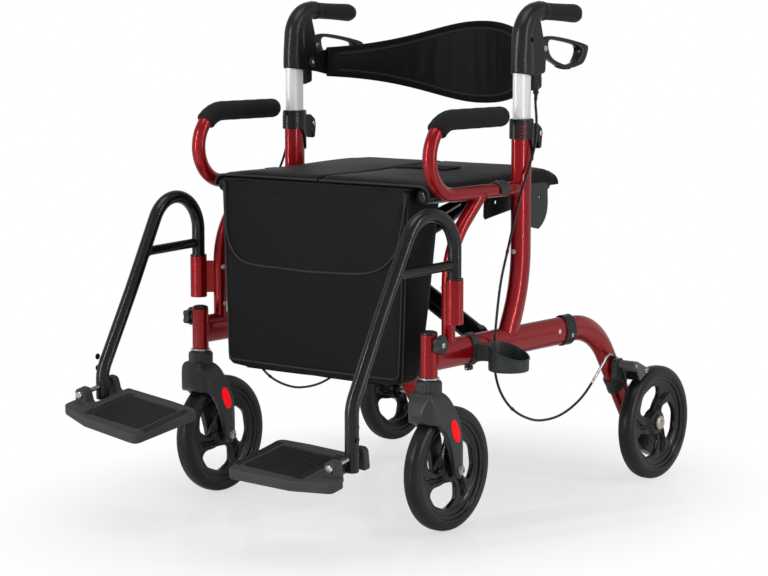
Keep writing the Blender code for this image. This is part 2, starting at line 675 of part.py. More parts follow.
def handle_body(side, black):
    """The moulded head on the post: a swept neck, a brake housing and the grip's stub."""
    bend = (UPRIGHT_Y + HANDLE_BEND_RADIUS, GRIP_Z - HANDLE_BEND_RADIUS)
    path = [(UPRIGHT_Y, HANDLE_BOTTOM_Z), (UPRIGHT_Y + 2 * GAP, HANDLE_BOTTOM_Z + 0.66 * HANDLE_BEND_RADIUS)]
    path += arc(bend, HANDLE_BEND_RADIUS, 172, 90, 5) + [(GRIP_START_Y - 2 * GAP, GRIP_Z)]
    count = len(path)
    wide = [HANDLE_HALF_WIDE * (1 - 0.073 * index / (count - 1)) for index in range(count)]
    taper = [1.0, 1.046, 1.046, 0.986, 0.893, 0.814, 0.763, 0.735, 0.721]
    deep = [HANDLE_HALF_DEEP * share for share in taper]
    body = solid(side_name(side, "handle_body"),
                 sweep(in_side_plane(path), wide, deep, POST_SIDES, 2.3), black, side)
    foot = (UPRIGHT_Y, HANDLE_BOTTOM_Z)
    tall = GRIP_Z - HANDLE_BOTTOM_Z
    shape = [(0.1915, 0.0000), (1.4255, 0.0190), (1.4681, 0.2190),
             (1.2553, 0.5810), (1.1915, 0.8857), (0.2766, 0.8857)]
    corner = [share * HANDLE_BEND_RADIUS for share in (0, 0.085, 0.13, 0.26, 0.13, 0)]
    housing = rounded(fitted(shape, foot, HANDLE_BEND_RADIUS, tall), corner, 2)
    join(body, prism(housing, SIDE_X - HOUSING_HALF_WIDE, SIDE_X + HOUSING_HALF_WIDE, 'X'), side)
    shape = [(0.5319, -0.3143), (0.8723, -0.2762), (1.3191, -0.2000),
             (1.2766, 0.0571), (0.5319, 0.0571)]
    corner = [share * HANDLE_BEND_RADIUS for share in (0.04, 0.04, 0.04, 0, 0)]
    cable_block = rounded(fitted(shape, foot, HANDLE_BEND_RADIUS, tall), corner, 2)
    join(body, prism(cable_block, SIDE_X - 0.55 * HOUSING_HALF_WIDE, SIDE_X + 0.86 * HOUSING_HALF_WIDE,
                     'X'), side)
    join(body, rod(grip_point(GRIP_START_Y - 0.010), grip_point(STUB_END_Y), STUB_RADIUS,
                   TUBE_SIDES), side)
    cut(body, sweep(in_side_plane([(UPRIGHT_Y, HANDLE_BOTTOM_Z - 0.02),
                                   (UPRIGHT_Y, POST_TOP_Z + 2 * GAP)]),
                    POST_HALF_WIDE + GAP, POST_HALF_DEEP + GAP, POST_SIDES), side)
    slot = LEVER_HALF_WIDE + CHEEK_GAP
    shape = [(-0.0857, -0.1464), (0.2571, -0.2643), (0.2571, 0.2036), (-0.0857, 0.1464)]
    cut(body, prism(fitted(shape, LEVER_PIN, LEVER_LENGTH), SIDE_X - slot, SIDE_X + slot, 'X'), side)
    cut(body, rod((SIDE_X - 0.03, *LEVER_PIN), (SIDE_X + 0.03, *LEVER_PIN),
                  LEVER_PIN_RADIUS + PIN_PLAY, 10), side)
    return body


def grip_point(y):
    """A point on the grip's centre line, which drops towards its end."""
    slope = GRIP_DROP / (GRIP_END_Y - GRIP_START_Y)
    return Vector((SIDE_X, y, GRIP_Z - slope * (y - GRIP_START_Y)))


def grip(side, black):
    """A rubber hand grip: a waisted sleeve with a flared collar and a rounded, slanted end."""
    rings = []
    bore = STUB_RADIUS + GAP

    def ring(y, radius):
        return section(grip_point(y), Y_AXIS, radius, radius, TUBE_SIDES)

    rings.append(ring(STUB_END_Y + 0.001, bore))
    rings.append(ring(GRIP_START_Y, bore))
    for share, radius in ((0.0, 1.04), (0.07, 1.06), (0.10, 0.96), (0.35, 0.93), (0.65, 0.97),
                          (0.88, 1.02), (0.96, 0.93), (1.0, 0.66)):
        rings.append(ring(GRIP_START_Y + share * (GRIP_END_Y - GRIP_START_Y), GRIP_RADIUS * radius))
    return solid(side_name(side, "grip"), loft(rings), black, side)


def brake_lever(side, black):
    """The looped brake lever on its pin between the housing's cheeks."""
    y, z = LEVER_PIN
    shape = [(-0.0286, 0.0643), (0.1429, 0.1393), (0.4357, 0.1286), (0.9143, 0.0500),
             (1.0000, -0.0214), (0.8786, -0.2000), (0.6286, -0.2536), (0.4429, -0.2357),
             (0.2143, -0.1500), (-0.0357, -0.0643)]
    corner = [share * LEVER_LENGTH for share in (0.04, 0.14, 0.21, 0.04, 0.04, 0.11, 0.14, 0.14, 0.14, 0.04)]
    outer = rounded(fitted(shape, LEVER_PIN, LEVER_LENGTH), corner, 2)
    shape = [(0.1857, 0.0821), (0.4214, 0.0821), (0.8071, 0.0071), (0.7786, -0.1429),
             (0.6143, -0.2000), (0.4643, -0.1857), (0.2500, -0.1036)]
    corner = [share * LEVER_LENGTH for share in (0.03, 0.21, 0.057, 0.071, 0.11, 0.14, 0.043)]
    inner = rounded(fitted(shape, LEVER_PIN, LEVER_LENGTH), corner, 2)
    lever = solid(side_name(side, "brake_lever"),
                  prism(outer, SIDE_X - LEVER_HALF_WIDE, SIDE_X + LEVER_HALF_WIDE, 'X'), black,
                  side, (SIDE_X, y, z))
    reach = 0.9 * HOUSING_HALF_WIDE
    join(lever, rod((SIDE_X - reach, y, z), (SIDE_X + reach, y, z), LEVER_PIN_RADIUS, 10), side)
    shape = [(0.7857, 0.0393), (0.9286, 0.0286), (0.9893, -0.0286), (0.8857, -0.1857),
             (0.8000, -0.2000)]
    paddle = rounded(fitted(shape, LEVER_PIN, LEVER_LENGTH), 0.021 * LEVER_LENGTH, 2)
    wide = 1.83 * LEVER_HALF_WIDE
    join(lever, prism(paddle, SIDE_X - wide, SIDE_X + wide, 'X'), side)
    cut(lever, prism(inner, SIDE_X - 0.02, SIDE_X + 0.02, 'X'), side)
    return lever


def smooth_route(points, spacing):
    """Points at a near-even spacing on one smooth curve through the route's own points."""
    points = [Vector(point) for point in points]
    ends = [2 * points[0] - points[1]] + points + [2 * points[-1] - points[-2]]
    result = []
    for index in range(1, len(ends) - 2):
        p0, p1, p2, p3 = ends[index - 1:index + 3]
        steps = max(1, round((p2 - p1).length / spacing))
        for step in range(steps):
            t = step / steps
            result.append(0.5 * ((2 * p1) + (p2 - p0) * t + (2 * p0 - 5 * p1 + 4 * p2 - p3) * t * t
                                 + (3 * p1 - p0 - 3 * p2 + p3) * t ** 3))
    return result + [points[-1]]


def brake_cable(side, black):
    """The cable from the handle's block, down outside the upright and round to the brake."""
    x = CABLE_X
    mouth, way = cable_stop()
    route = [(0.256, 0.0890, 0.6955), (0.258, 0.0885, 0.684), (0.2655, 0.0840, 0.652),
             (0.2675, 0.0720, 0.615), (x, 0.050, 0.575), (x, 0.030, 0.538),
             (x, 0.009, 0.489), (x, -0.009, 0.443), (x, -0.027, 0.394), (x, -0.0385, 0.335),
             (x, -0.0440, 0.285), (x, -0.041, 0.246), (x, -0.025, 0.211), (x, 0.005, 0.181),
             (x, 0.047, 0.159), (x, 0.095, 0.147), (x, 0.157, 0.149), (x, 0.220, 0.171),
             (x, 0.277, 0.214), (x, 0.293, 0.2285), (x, 0.303, 0.2335),
             mouth - way * 0.011, mouth - way * GAP]
    curve = bpy.data.curves.new(side_name(side, "brake_cable"), 'CURVE')
    curve.dimensions = '3D'
    curve.bevel_depth = CABLE_RADIUS
    curve.bevel_resolution = 2
    curve.use_fill_caps = True
    spline = curve.splines.new('POLY')
    points = smooth_route(route, 0.030)
    spline.points.add(len(points) - 1)
    for target, point in zip(spline.points, points):
        target.co = (point.x * side, point.y, point.z, 1)
    curve.materials.append(black)
    cable = bpy.data.objects.new(side_name(side, "brake_cable"), curve)
    add_to_chair(cable)
    return cable


def leg_frame(along):
    """Origin and direction of the rear leg's straight run, at a distance above the axle."""
    slope = math.radians(LEG_SLOPE)
    axle_y, axle_z = leg_axle()
    direction = Vector((0, math.cos(slope), -math.sin(slope)))
    return Vector((SIDE_X, axle_y, axle_z)) - direction * along, direction


def cable_stop():
    """Where the cable ends on the bracket, and its direction there."""
    y, z = ARM_PIVOT
    return Vector((CABLE_X, y - 0.0090, z + 0.0125)), Vector((0, 0.894, -0.447)).normalized()


def brake_bracket(side, black):
    """A sleeve on the rear leg with an outboard boss for the brake arm."""
    low, direction = leg_frame(0.082)
    high, _ = leg_frame(0.112)
    bore = (LEG_HALF_WIDE + GAP, LEG_HALF_DEEP + GAP)
    outer = (LEG_HALF_WIDE + 0.0032, LEG_HALF_DEEP + 0.0032)
    rings = [section(point, direction, *half, OVAL_SIDES)
             for point, half in ((low, bore), (low, outer), (high, outer), (high, bore))]
    bracket = solid(side_name(side, "brake_bracket"), loft(rings, hollow=True), black, side)
    y, z = ARM_PIVOT
    start = SIDE_X + LEG_HALF_WIDE + 0.0016
    arm = rounded([(y - 0.012, z + 0.010), (y + 0.009, z + 0.010), (y + 0.026, z - 0.020),
                   (y + 0.012, z - 0.034), (y - 0.014, z - 0.026)], [0.005, 0.005, 0.004, 0, 0.004], 2)
    join(bracket, prism(arm, start, SIDE_X + 0.0245, 'X'), side)
    join(bracket, rod((start, y, z), (REAR_WHEEL_X + 0.0125, y, z), ARM_PIVOT_RADIUS, 12), side)
    mouth, way = cable_stop()
    join(bracket, rod(mouth, mouth + way * 0.0135, 0.0042, 10), side)
    return bracket


def brake_arm(side, black):
    """The pressed arm that swings its shoe on to the rear tyre."""
    y, z = ARM_PIVOT
    axle_y, axle_z = leg_axle()
    clear = WHEEL_RADIUS + SHOE_GAP
    face = arc((axle_y, axle_z), clear, 127, 108, 4)
    outline = [(y - 0.0070, z - 0.0050), (y - 0.0050, z + 0.0070), (y + 0.0060, z + 0.0070),
               (y + 0.040, z - 0.0085), (y + 0.0475, z - 0.0110)] + face[::-1] + [(y + 0.004, z - 0.0070)]
    arm = solid(side_name(side, "brake_arm"),
                prism(outline, SIDE_X + 0.0248, REAR_WHEEL_X + 0.0110, 'X'), black, side, (SIDE_X, y, z))
    cut(arm, rod((SIDE_X, y, z), (REAR_WHEEL_X + 0.03, y, z), ARM_PIVOT_RADIUS + PIN_PLAY, 12), side)
    cut(arm, block(SIDE_X + 0.0280, REAR_WHEEL_X + 0.0080, y + 0.0068, y + 0.031, z - 0.03, z - 0.0015), side)
    return arm


def wheel_opening(turn):
    """One fan-shaped opening that leans between two swept spokes, about the wheel's axis."""
    corners = [(0.0285, 155, 0.007), (0.0560, 148, 0.013), (0.0670, 110, 0.040),
               (0.0640, 66, 0.013), (0.0275, 106, 0.005)]
    outline = [(radius * math.cos(math.radians(angle + turn)), radius * math.sin(math.radians(angle + turn)))
               for radius, angle, corner in corners]
    return rounded(outline, [corner for radius, angle, corner in corners], 2)


def wheel(name, side, centre, black, bore, hub_half):
    """An 8 in wheel: rounded tread, stepped rim, hub and a web with three swirled openings."""
    radius, half = WHEEL_RADIUS, WHEEL_HALF_WIDE
    rim = radius - TYRE_DEPTH
    web = 0.0060
    left = [(HUB_RADIUS + 0.003, web), (rim - 0.005, web), (rim - 0.001, half - 0.003),
            (radius - 0.005, half)]
    right = [(r, -x) for r, x in left]
    profile = left + [(radius, 0)] + right[::-1] + [(HUB_RADIUS, -hub_half), (bore, -hub_half),
                                                    (bore, hub_half), (HUB_RADIUS, hub_half)]
    piece = solid(name, turned(profile, centre, X_AXIS, WHEEL_SIDES), black, side, centre)
    for index in range(3):
        outline = [(centre[1] + y, centre[2] + z) for y, z in wheel_opening(120 * index)]
        cut(piece, prism(outline, centre[0] - 0.03, centre[0] + 0.03, 'X'), side)
    return piece


def rear_axle(side, steel):
    """The rear axle bolt, with its nut, spacer and domed cap."""
    y, z = leg_axle()
    leg_out = SIDE_X + LEG_HALF_WIDE
    leg_in = SIDE_X - LEG_HALF_WIDE
    hub_in = REAR_WHEEL_X - REAR_HUB_HALF
    hub_out = REAR_WHEEL_X + REAR_HUB_HALF
    steps = [(0.0080, leg_in - 0.0060, leg_in - GAP), (AXLE_RADIUS, leg_in - GAP, leg_out + GAP),
             (0.0085, leg_out + GAP, hub_in - 2 * GAP), (AXLE_RADIUS, hub_in - 2 * GAP, hub_out + GAP),
             (0.0110, hub_out + GAP, hub_out + CAP_THICK)]
    return solid(side_name(side, "rear_axle"), shaft(steps, (0, y, z), X_AXIS, 10), steel, side,
                 (REAR_WHEEL_X, y, z))


def tip_pedal(side, black):
    """The kerb pedal that caps the rear leg's end, with a ribbed tread."""
    _, direction = leg_frame(0)
    end = leg_frame(-LEG_BEYOND_AXLE)[0] + direction * GAP
    across = Vector((0, -direction.z, direction.y)) * (LEG_HALF_DEEP - 0.0005)
    top, bottom = end + across, end - across
    first = Vector((end.y + 0.0400, end.z - 0.0160))
    last = Vector((end.y + 0.0720, end.z - 0.0500))
    way = (last - first).normalized()
    out = Vector((-way.y, way.x))
    tread = []
    for index in range(PEDAL_RIBS):
        base = first.lerp(last, index / PEDAL_RIBS)
        tread += [base, base + out * 0.0020, base + out * 0.0020 + way * 0.0045, base + way * 0.0060]
    outline = [(top.y, top.z), *[tuple(point) for point in tread], tuple(last),
               (end.y + 0.0620, end.z - 0.0640), (end.y + 0.0200, end.z - 0.0460), (bottom.y, bottom.z)]
    return solid(side_name(side, "tip_pedal"),
                 prism(outline, SIDE_X - 0.0115, SIDE_X + 0.0115, 'X'), black, side)


def caster_fork(side, black):
    """One-piece fork: a round crown that splits into two legs swept back to the axle."""
    wheel_y = HEAD_Y + CASTER_TRAIL
    axle = (wheel_y, WHEEL_RADIUS)
    outline = [(HEAD_Y - 0.0190, FORK_TOP_Z), (HEAD_Y + 0.0190, FORK_TOP_Z),
               (HEAD_Y + 0.0340, FORK_TOP_Z - 0.010), (HEAD_Y + 0.0560, FORK_TOP_Z - 0.034),
               (HEAD_Y + 0.0690, FORK_TOP_Z - 0.066), (HEAD_Y + 0.0680, FORK_TOP_Z - 0.100)]
    foot = arc(axle, 0.0140, 10, -190, 5)
    front = [(HEAD_Y + 0.0370, FORK_TOP_Z - 0.088), (HEAD_Y + 0.0250, FORK_TOP_Z - 0.062),
             (HEAD_Y - 0.0040, FORK_TOP_Z - 0.044), (HEAD_Y - 0.0280, FORK_TOP_Z - 0.034),
             (HEAD_Y - 0.0300, FORK_TOP_Z - 0.014)]
    fork = solid(side_name(side, "caster_fork"),
                 prism(outline + foot + front, SIDE_X - FORK_HALF_WIDE, SIDE_X + FORK_HALF_WIDE, 'X'),
                 black, side, (SIDE_X, HEAD_Y, FORK_TOP_Z))
    arch = [(-FORK_HALF_WIDE, WHEEL_RADIUS - 0.03), (-FORK_HALF_WIDE, WHEEL_RADIUS + 0.03),
            (-FORK_HALF_WIDE + 0.0005, FORK_TOP_Z - 0.050), (-FORK_HALF_WIDE + 0.0035, FORK_TOP_Z - 0.022),
            (-FORK_CROWN_HALF_WIDE - 0.002, FORK_TOP_Z - 0.006), (-FORK_CROWN_HALF_WIDE + 0.003, FORK_TOP_Z + 0.001)]
    shell = [(SIDE_X + x, z) for x, z in arch] + [(SIDE_X - x, z) for x, z in arch[::-1]]
    combine(fork, prism(shell, HEAD_Y - 0.1, HEAD_Y + 0.2, 'Y'), 'INTERSECT', side)
    inside = WHEEL_RADIUS + 0.0070
    well = [(inside - 0.006, -FORK_INNER_HALF), (inside, 0.004 - FORK_INNER_HALF),
            (inside, FORK_INNER_HALF - 0.004), (inside - 0.006, FORK_INNER_HALF)]
    cut(fork, turned_solid(well, (SIDE_X, *axle), X_AXIS, 20), side)
    nut = [(RING_NUT_RADIUS, FORK_TOP_Z - 0.004), (RING_NUT_RADIUS, RING_NUT_TOP_Z - 0.003),
           (RING_NUT_RADIUS - 0.003, RING_NUT_TOP_Z)]
    join(fork, turned_solid(nut, (SIDE_X, HEAD_Y, 0), Z_AXIS, 14), side)
    cut(fork, rod((SIDE_X, HEAD_Y, STEM_BOTTOM_Z - GAP), (SIDE_X, HEAD_Y, RING_NUT_TOP_Z + 0.01),
                  STEM_RADIUS + PIN_PLAY, 12), side)
    cut(fork, rod((SIDE_X - 0.05, *axle), (SIDE_X + 0.05, *axle), CASTER_AXLE_RADIUS + PIN_PLAY, 10), side)
    return fork


def caster_stem(side, steel):
    steps = [(STEM_RADIUS, STEM_BOTTOM_Z, RING_NUT_TOP_Z + GAP),
             (STEM_FLANGE_RADIUS, RING_NUT_TOP_Z + GAP, HEAD_BOTTOM_Z - GAP),
             (STEM_RADIUS, HEAD_BOTTOM_Z - GAP, STEM_TOP_Z)]
    return solid(side_name(side, "caster_stem"), shaft(steps, (SIDE_X, HEAD_Y, 0), Z_AXIS, 10), steel, side,
                 (SIDE_X, HEAD_Y, STEM_BOTTOM_Z))


def caster_axle(side, steel):
    y = HEAD_Y + CASTER_TRAIL
    outer = FORK_HALF_WIDE
    steps = [(0.0065, -outer - 0.0045, -outer - GAP), (CASTER_AXLE_RADIUS, -outer - GAP, outer + GAP),
             (0.0065, outer + GAP, outer + 0.0045)]
    return solid(side_name(side, "caster_axle"), shaft(steps, (SIDE_X, y, WHEEL_RADIUS), X_AXIS, 10),
                 steel, side, (SIDE_X, y, WHEEL_RADIUS))


def star_knob(side, black):
    """The lobed hand knob on the head tube, with its stud."""
    start = SIDE_X + HEAD_RADIUS + GAP
    points = []
    for index in range(KNOB_LOBES * 4):
        angle = 2 * math.pi * index / (KNOB_LOBES * 4)
        reach = KNOB_RADIUS * (0.86 + 0.14 * math.cos(KNOB_LOBES * angle))
        points.append((HEAD_Y + reach * math.cos(angle), KNOB_Z + reach * math.sin(angle)))
    knob = solid(side_name(side, "star_knob"), prism(points, start + 0.0025, start + KNOB_THICK, 'X'),
                 black, side, (SIDE_X, HEAD_Y, KNOB_Z))
    join(knob, shaft([(0.0075, start, start + 0.004)], (0, HEAD_Y, KNOB_Z), X_AXIS), side)
    join(knob, rod((SIDE_X + 0.0095, HEAD_Y, KNOB_Z), (start + 0.003, HEAD_Y, KNOB_Z),
                   KNOB_STUD_RADIUS, 12), side)
    return knob


def hinge_z(side):
    return LEFT_HINGE_Z if side > 0 else RIGHT_HINGE_Z


def hanger_path(side):
    """The footrest's bent tube, from the socket's floor over the arch and down to its end."""
    arch = arc((SOCKET_Y - HANGER_BEND_RADIUS, HANGER_BEND_Z), HANGER_BEND_RADIUS,
               0, 180 - HANGER_LEAN, 7)
    lean = math.radians(HANGER_LEAN)
    start_y, start_z = arch[-1]
    knee_z = start_z - (start_y - HANGER_FOOT_Y) / math.tan(lean)
    reach = HANGER_FOOT_BEND_RADIUS * math.tan(lean / 2)
    above = (HANGER_FOOT_Y + reach * math.sin(lean), knee_z + reach * math.cos(lean))
    knee = arc((HANGER_FOOT_Y + HANGER_FOOT_BEND_RADIUS, knee_z - reach), HANGER_FOOT_BEND_RADIUS,
               180 - HANGER_LEAN, 180, 3)
    end = (HANGER_FOOT_Y, hinge_z(side) - LEG_END_BELOW_HINGE)
    flat = [(SOCKET_Y, SOCKET_BOTTOM_Z + SOCKET_FLOOR + GAP)] + arch + [above] + knee[1:] + [end]
    path = []
    for y, z in flat:
        share = min(1.0, max(0.0, (SOCKET_Y - y) / 0.173))
        path.append(Vector((SOCKET_X + (HANGER_FOOT_X - SOCKET_X) * share, y, z)))
    return path


def footrest_hanger(side, black):
    """The swing-away tube with its welded brace."""
    hanger = solid(side_name(side, "footrest_hanger"),
                   sweep(hanger_path(side), HANGER_RADIUS, HANGER_RADIUS, TUBE_SIDES), black, side,
                   (SOCKET_X, SOCKET_Y, SOCKET_TOP_Z))
    lean = math.radians(HANGER_LEAN)
    arch_end = SOCKET_Y - HANGER_BEND_RADIUS * (1 + math.cos(lean))
    drop = HANGER_BEND_Z + HANGER_BEND_RADIUS * math.sin(lean) - HANGER_BRACE_Z
    front_y = arch_end - drop * math.tan(lean)
    share = (SOCKET_Y - front_y) / 0.173
    front_x = SOCKET_X + (HANGER_FOOT_X - SOCKET_X) * share
    join(hanger, rod((SOCKET_X, SOCKET_Y, HANGER_BRACE_Z + 0.004), (front_x, front_y, HANGER_BRACE_Z),
                     HANGER_BRACE_RADIUS, 10), side)
    place = plate_place(side)
    start = place @ Vector((0, -0.03, 0))
    end = place @ Vector((0, 0.03, 0))
    cut(hanger, rod(start, end, PLATE_PIN_RADIUS + PIN_PLAY, 12), side)
    return hanger


def plate_place(side):
    """From the footplate's own frame, hinge line along y, to the left half of the chair."""
    return (Matrix.Translation((HANGER_FOOT_X, HANGER_FOOT_Y, hinge_z(side)))
            @ Matrix.Rotation(math.radians(PLATE_PITCH), 4, 'X')
            @ Matrix.Rotation(math.radians(PLATE_ROLL[side]), 4, 'Y'))


def placed(bm, matrix):
    bmesh.ops.transform(bm, matrix=matrix, verts=bm.verts)
    return bm


def footplate(side, grey):
    """A moulded tray with a skirt, a sunk tread pad, ribs and two hinge lugs."""
    place = plate_place(side)
    top = -PLATE_DROP
    leg = -0.0165
    outline = [(-PLATE_INNER, PLATE_REAR - 0.004), (-PLATE_INNER + 0.06, PLATE_REAR),
               (leg, PLATE_REAR), (leg, -0.034), (PLATE_OUTER, -0.044), (PLATE_OUTER, -0.074),
               (-0.048, -PLATE_FRONT + 0.006), (-PLATE_INNER, -PLATE_FRONT)]
    radii = [0.010, 0.02, 0.004, 0.003, 0.006, 0.008, 0.03, 0.010]
    edge = rounded(outline, radii, 2)
    plate = solid(side_name(side, "footplate"), placed(prism(edge, top - PLATE_SKIRT, top, 'Z'), place),
                  grey, side, (HANGER_FOOT_X, HANGER_FOOT_Y, hinge_z(side)))
    middle = Vector((-0.080, -0.030))
    under = [tuple(middle + (Vector(point) - middle) * 0.955) for point in edge]
    cut(plate, placed(prism(under, top - PLATE_SKIRT - 0.01, top - PLATE_FLOOR, 'Z'), place), side)
    for low, high in ((-0.054, -0.0345), (0.0165, 0.0345)):
        lug = rounded([(-0.011, top - 0.012), (0.011, top - 0.012), (0.0095, LUG_RADIUS),
                       (-0.0095, LUG_RADIUS)], [0, 0, 0.008, 0.008], 2)
        join(plate, placed(prism(lug, low, high, 'Y'), place), side)
        join(plate, placed(block(leg - 0.012, 0.011, low, high, top - 0.014, top - 0.003), place), side)
    pad = [(-0.152, -0.076), (-0.152, 0.018), (-0.052, 0.018), (-0.052, -0.076)]
    flare = [(-0.1555, -0.0795), (-0.1555, 0.0215), (-0.0485, 0.0215), (-0.0485, -0.0795)]
    well = [[Vector((x, y, top - PLATE_RECESS)) for x, y in pad],
            [Vector((x, y, top + 0.01)) for x, y in flare]]
    cut(plate, placed(loft(well), place), side)
    for index in range(PLATE_RIB_COUNT):
        for first in (-0.1700, -0.0460):
            x = first + 0.0055 * index
            join(plate, placed(block(x, x + 0.0016, -0.078, 0.022, top - 0.002, top + 0.0010), place), side)
    cut(plate, placed(rod((0, -0.08, 0), (0, 0.06, 0), PLATE_PIN_RADIUS + PIN_PLAY, 12), place), side)
    return plate


def footplate_pin(side, steel):
    place = plate_place(side)
    pin = rod((0, -0.0530, 0), (0, 0.0335, 0), PLATE_PIN_RADIUS, 10)
    return solid(side_name(side, "footplate_pin"), placed(pin, place), steel, side,
                 (HANGER_FOOT_X, HANGER_FOOT_Y, hinge_z(side)))


def folding_arm(side, name, black):
    """One arm of the cross with the seat rail it carries. side is where its foot is."""
    angle = fold_angle()
    y = arm_y(side)
    foot = Vector((FOLD_X, y, ARM_PIN_Z))
    tip = Vector((-FOLD_X, y, RAIL_Z))
    along = (tip - foot).normalized()
    up = Vector((-along.z, 0, along.x)) * -1
    length = (tip - foot).length
    shares = [(0.0, ARM_HALF_TALL), (0.78, ARM_HALF_TALL), (0.94, ARM_TIP_HALF_TALL),
              (1.0, ARM_TIP_HALF_TALL)]
    rings = []
    for share, tall in shares:
        centre = foot + along * (length * share)
        ring = []
        for index in range(12):
            turn = 2 * math.pi * (index + 0.5) / 12
            c, s = math.cos(turn), math.sin(turn)
            c = math.copysign(abs(c) ** (2 / 2.8), c)
            s = math.copysign(abs(s) ** (2 / 2.8), s)
            ring.append(centre + Y_AXIS * (ARM_HALF_DEEP * c) + up * (tall * s))
        rings.append(ring)
    arm = solid(name, loft(rings), black, side, foot)
    join(arm, rod((FOLD_X, y - ARM_HALF_DEEP, ARM_PIN_Z), (FOLD_X, y + ARM_HALF_DEEP, ARM_PIN_Z),
                  ARM_HALF_TALL, 14), side)
    rail_front = RAIL_FRONT_Y
    join(arm, rod((-FOLD_X, rail_front, RAIL_Z), (-FOLD_X, RAIL_REAR_Y, RAIL_Z), RAIL_RADIUS, 12), side)
    cut(arm, rod((FOLD_X, y - 0.02, ARM_PIN_Z), (FOLD_X, y + 0.02, ARM_PIN_Z),
                 ARM_PIN_RADIUS + PIN_PLAY, 12), side)
    middle_z = 0.5 * (ARM_PIN_Z + RAIL_Z)
    cut(arm, rod((0, y - 0.02, middle_z), (0, y + 0.02, middle_z), PIVOT_RADIUS + PIN_PLAY, 12), side)
    return arm


def brace_pivot(steel):
    """The bolt where the two arms cross."""
    reach = 2 * ARM_HALF_DEEP + ARM_PLAY + GAP
    z = 0.5 * (ARM_PIN_Z + RAIL_Z)
    steps = [(0.0100, -reach - 0.004, -reach), (PIVOT_RADIUS, -reach, reach),
             (0.0100, reach, reach + 0.004)]
    return solid("brace_pivot", shaft(steps, (0, ARM_MID_Y, z), Y_AXIS, 10), steel, 1, (0, ARM_MID_Y, z))


def seat_half(side, black):
    """Half of the padded sling: it wraps its rail, crowns towards the middle and thins at its hems."""
    under = RAIL_Z + RAIL_RADIUS + GAP
    lip = arc((FOLD_X, RAIL_Z), RAIL_RADIUS + GAP + SEAT_SKIN, -8, 90, 5)
    inner = arc((FOLD_X, RAIL_Z), RAIL_RADIUS + GAP, 90, -8, 5)
    hems = [(0.0, 0.50), (0.3 * SEAT_HEM, 0.80), (SEAT_HEM, 1.0)]
    stations = [(SEAT_FRONT_Y + inset, full) for inset, full in hems]
    stations += [(SEAT_REAR_Y - inset, full) for inset, full in hems[::-1]]
    rings = []
    for y, full in stations:
        thick = SEAT_THICK * full
        crown = [(FOLD_X - 0.012, SEAT_SKIN + 0.0006), (FOLD_X - 0.030, 0.64 * thick),
                 (FOLD_X - 0.060, thick), (0.050, thick), (SEAT_SLOT + 0.010, 0.89 * thick),
                 (SEAT_SLOT, 0.55 * thick), (SEAT_SLOT, 0.0)]
        outline = lip + [(x, under + height) for x, height in crown] + inner
        rings.append([Vector((x, y, z)) for x, z in outline])
    return solid(side_name(side, "seat_half"), loft(rings), black, side, (FOLD_X, 0, RAIL_Z))


def bag(black):
    """The shopping bag hung from the seat's front: round-cornered, and smaller at the bottom."""
    top = RAIL_Z + RAIL_RADIUS
    rings = []
    for share, in_by in ((0.0, 0.010), (0.03, 0.002), (0.25, 0.0), (0.5, 0.0), (0.97, 0.0), (1.0, 0.003)):
        half = BAG_BOTTOM_HALF + (BAG_TOP_HALF - BAG_BOTTOM_HALF) * share - in_by
        back = BAG_BACK_LOW_Y + (BAG_BACK_Y - BAG_BACK_LOW_Y) * share ** 0.6 - in_by
        z = BAG_BOTTOM_Z + (top - BAG_BOTTOM_Z) * share
        box = [(-half, BAG_FRONT_Y + in_by), (half, BAG_FRONT_Y + in_by), (half, back), (-half, back)]
        rings.append([Vector((x, y, z)) for x, y in rounded(box, BAG_CORNER, 3)])
    return solid("bag", loft(rings), black)


def backrest(black):
    """The padded band bowed behind the user, widest in the middle, with a tab at each end."""
    tab_x = SIDE_X - HANDLE_HALF_WIDE - GAP - BACK_TAB_HALF_THICK
    steps = 14
    path = [(-tab_x, UPRIGHT_Y, 0.55), (-tab_x, BACK_END_Y - 0.015, 0.7)]
    for step in range(1, steps):
        share = 2 * step / steps - 1
        path.append((tab_x * share, BACK_END_Y + BACK_BOW * (1 - abs(share) ** 2.2), 1.0))
    path += [(-x, y, full) for x, y, full in path[1::-1]]
    points = [Vector((x, y, BACK_Z)) for x, y, full in path]
    rings = []
    for point, tangent, (x, y, full) in zip(points, tangents(points), path):
        tangent.normalize()
        normal = Vector((-tangent.y, tangent.x, 0))
        swell = math.exp(-(abs(x) / 0.148) ** 2.2)
        tall = 0.5 * (BACK_END_HEIGHT - 0.005 + (BACK_MID_HEIGHT - BACK_END_HEIGHT + 0.005) * swell)
        thick = BACK_HALF_THICK if full == 1.0 else BACK_TAB_HALF_THICK
        ring = []
        for index in range(14):
            turn = 2 * math.pi * (index + 0.5) / 14
            c, s = math.cos(turn), math.sin(turn)
            c = math.copysign(abs(c) ** (2 / 2.6), c)
            s = math.copysign(abs(s) ** (2 / 2.6), s)
            ring.append(point + normal * (thick * c) + Z_AXIS * (tall * full * s))
        rings.append(ring)
    return solid("backrest", loft(rings), black)


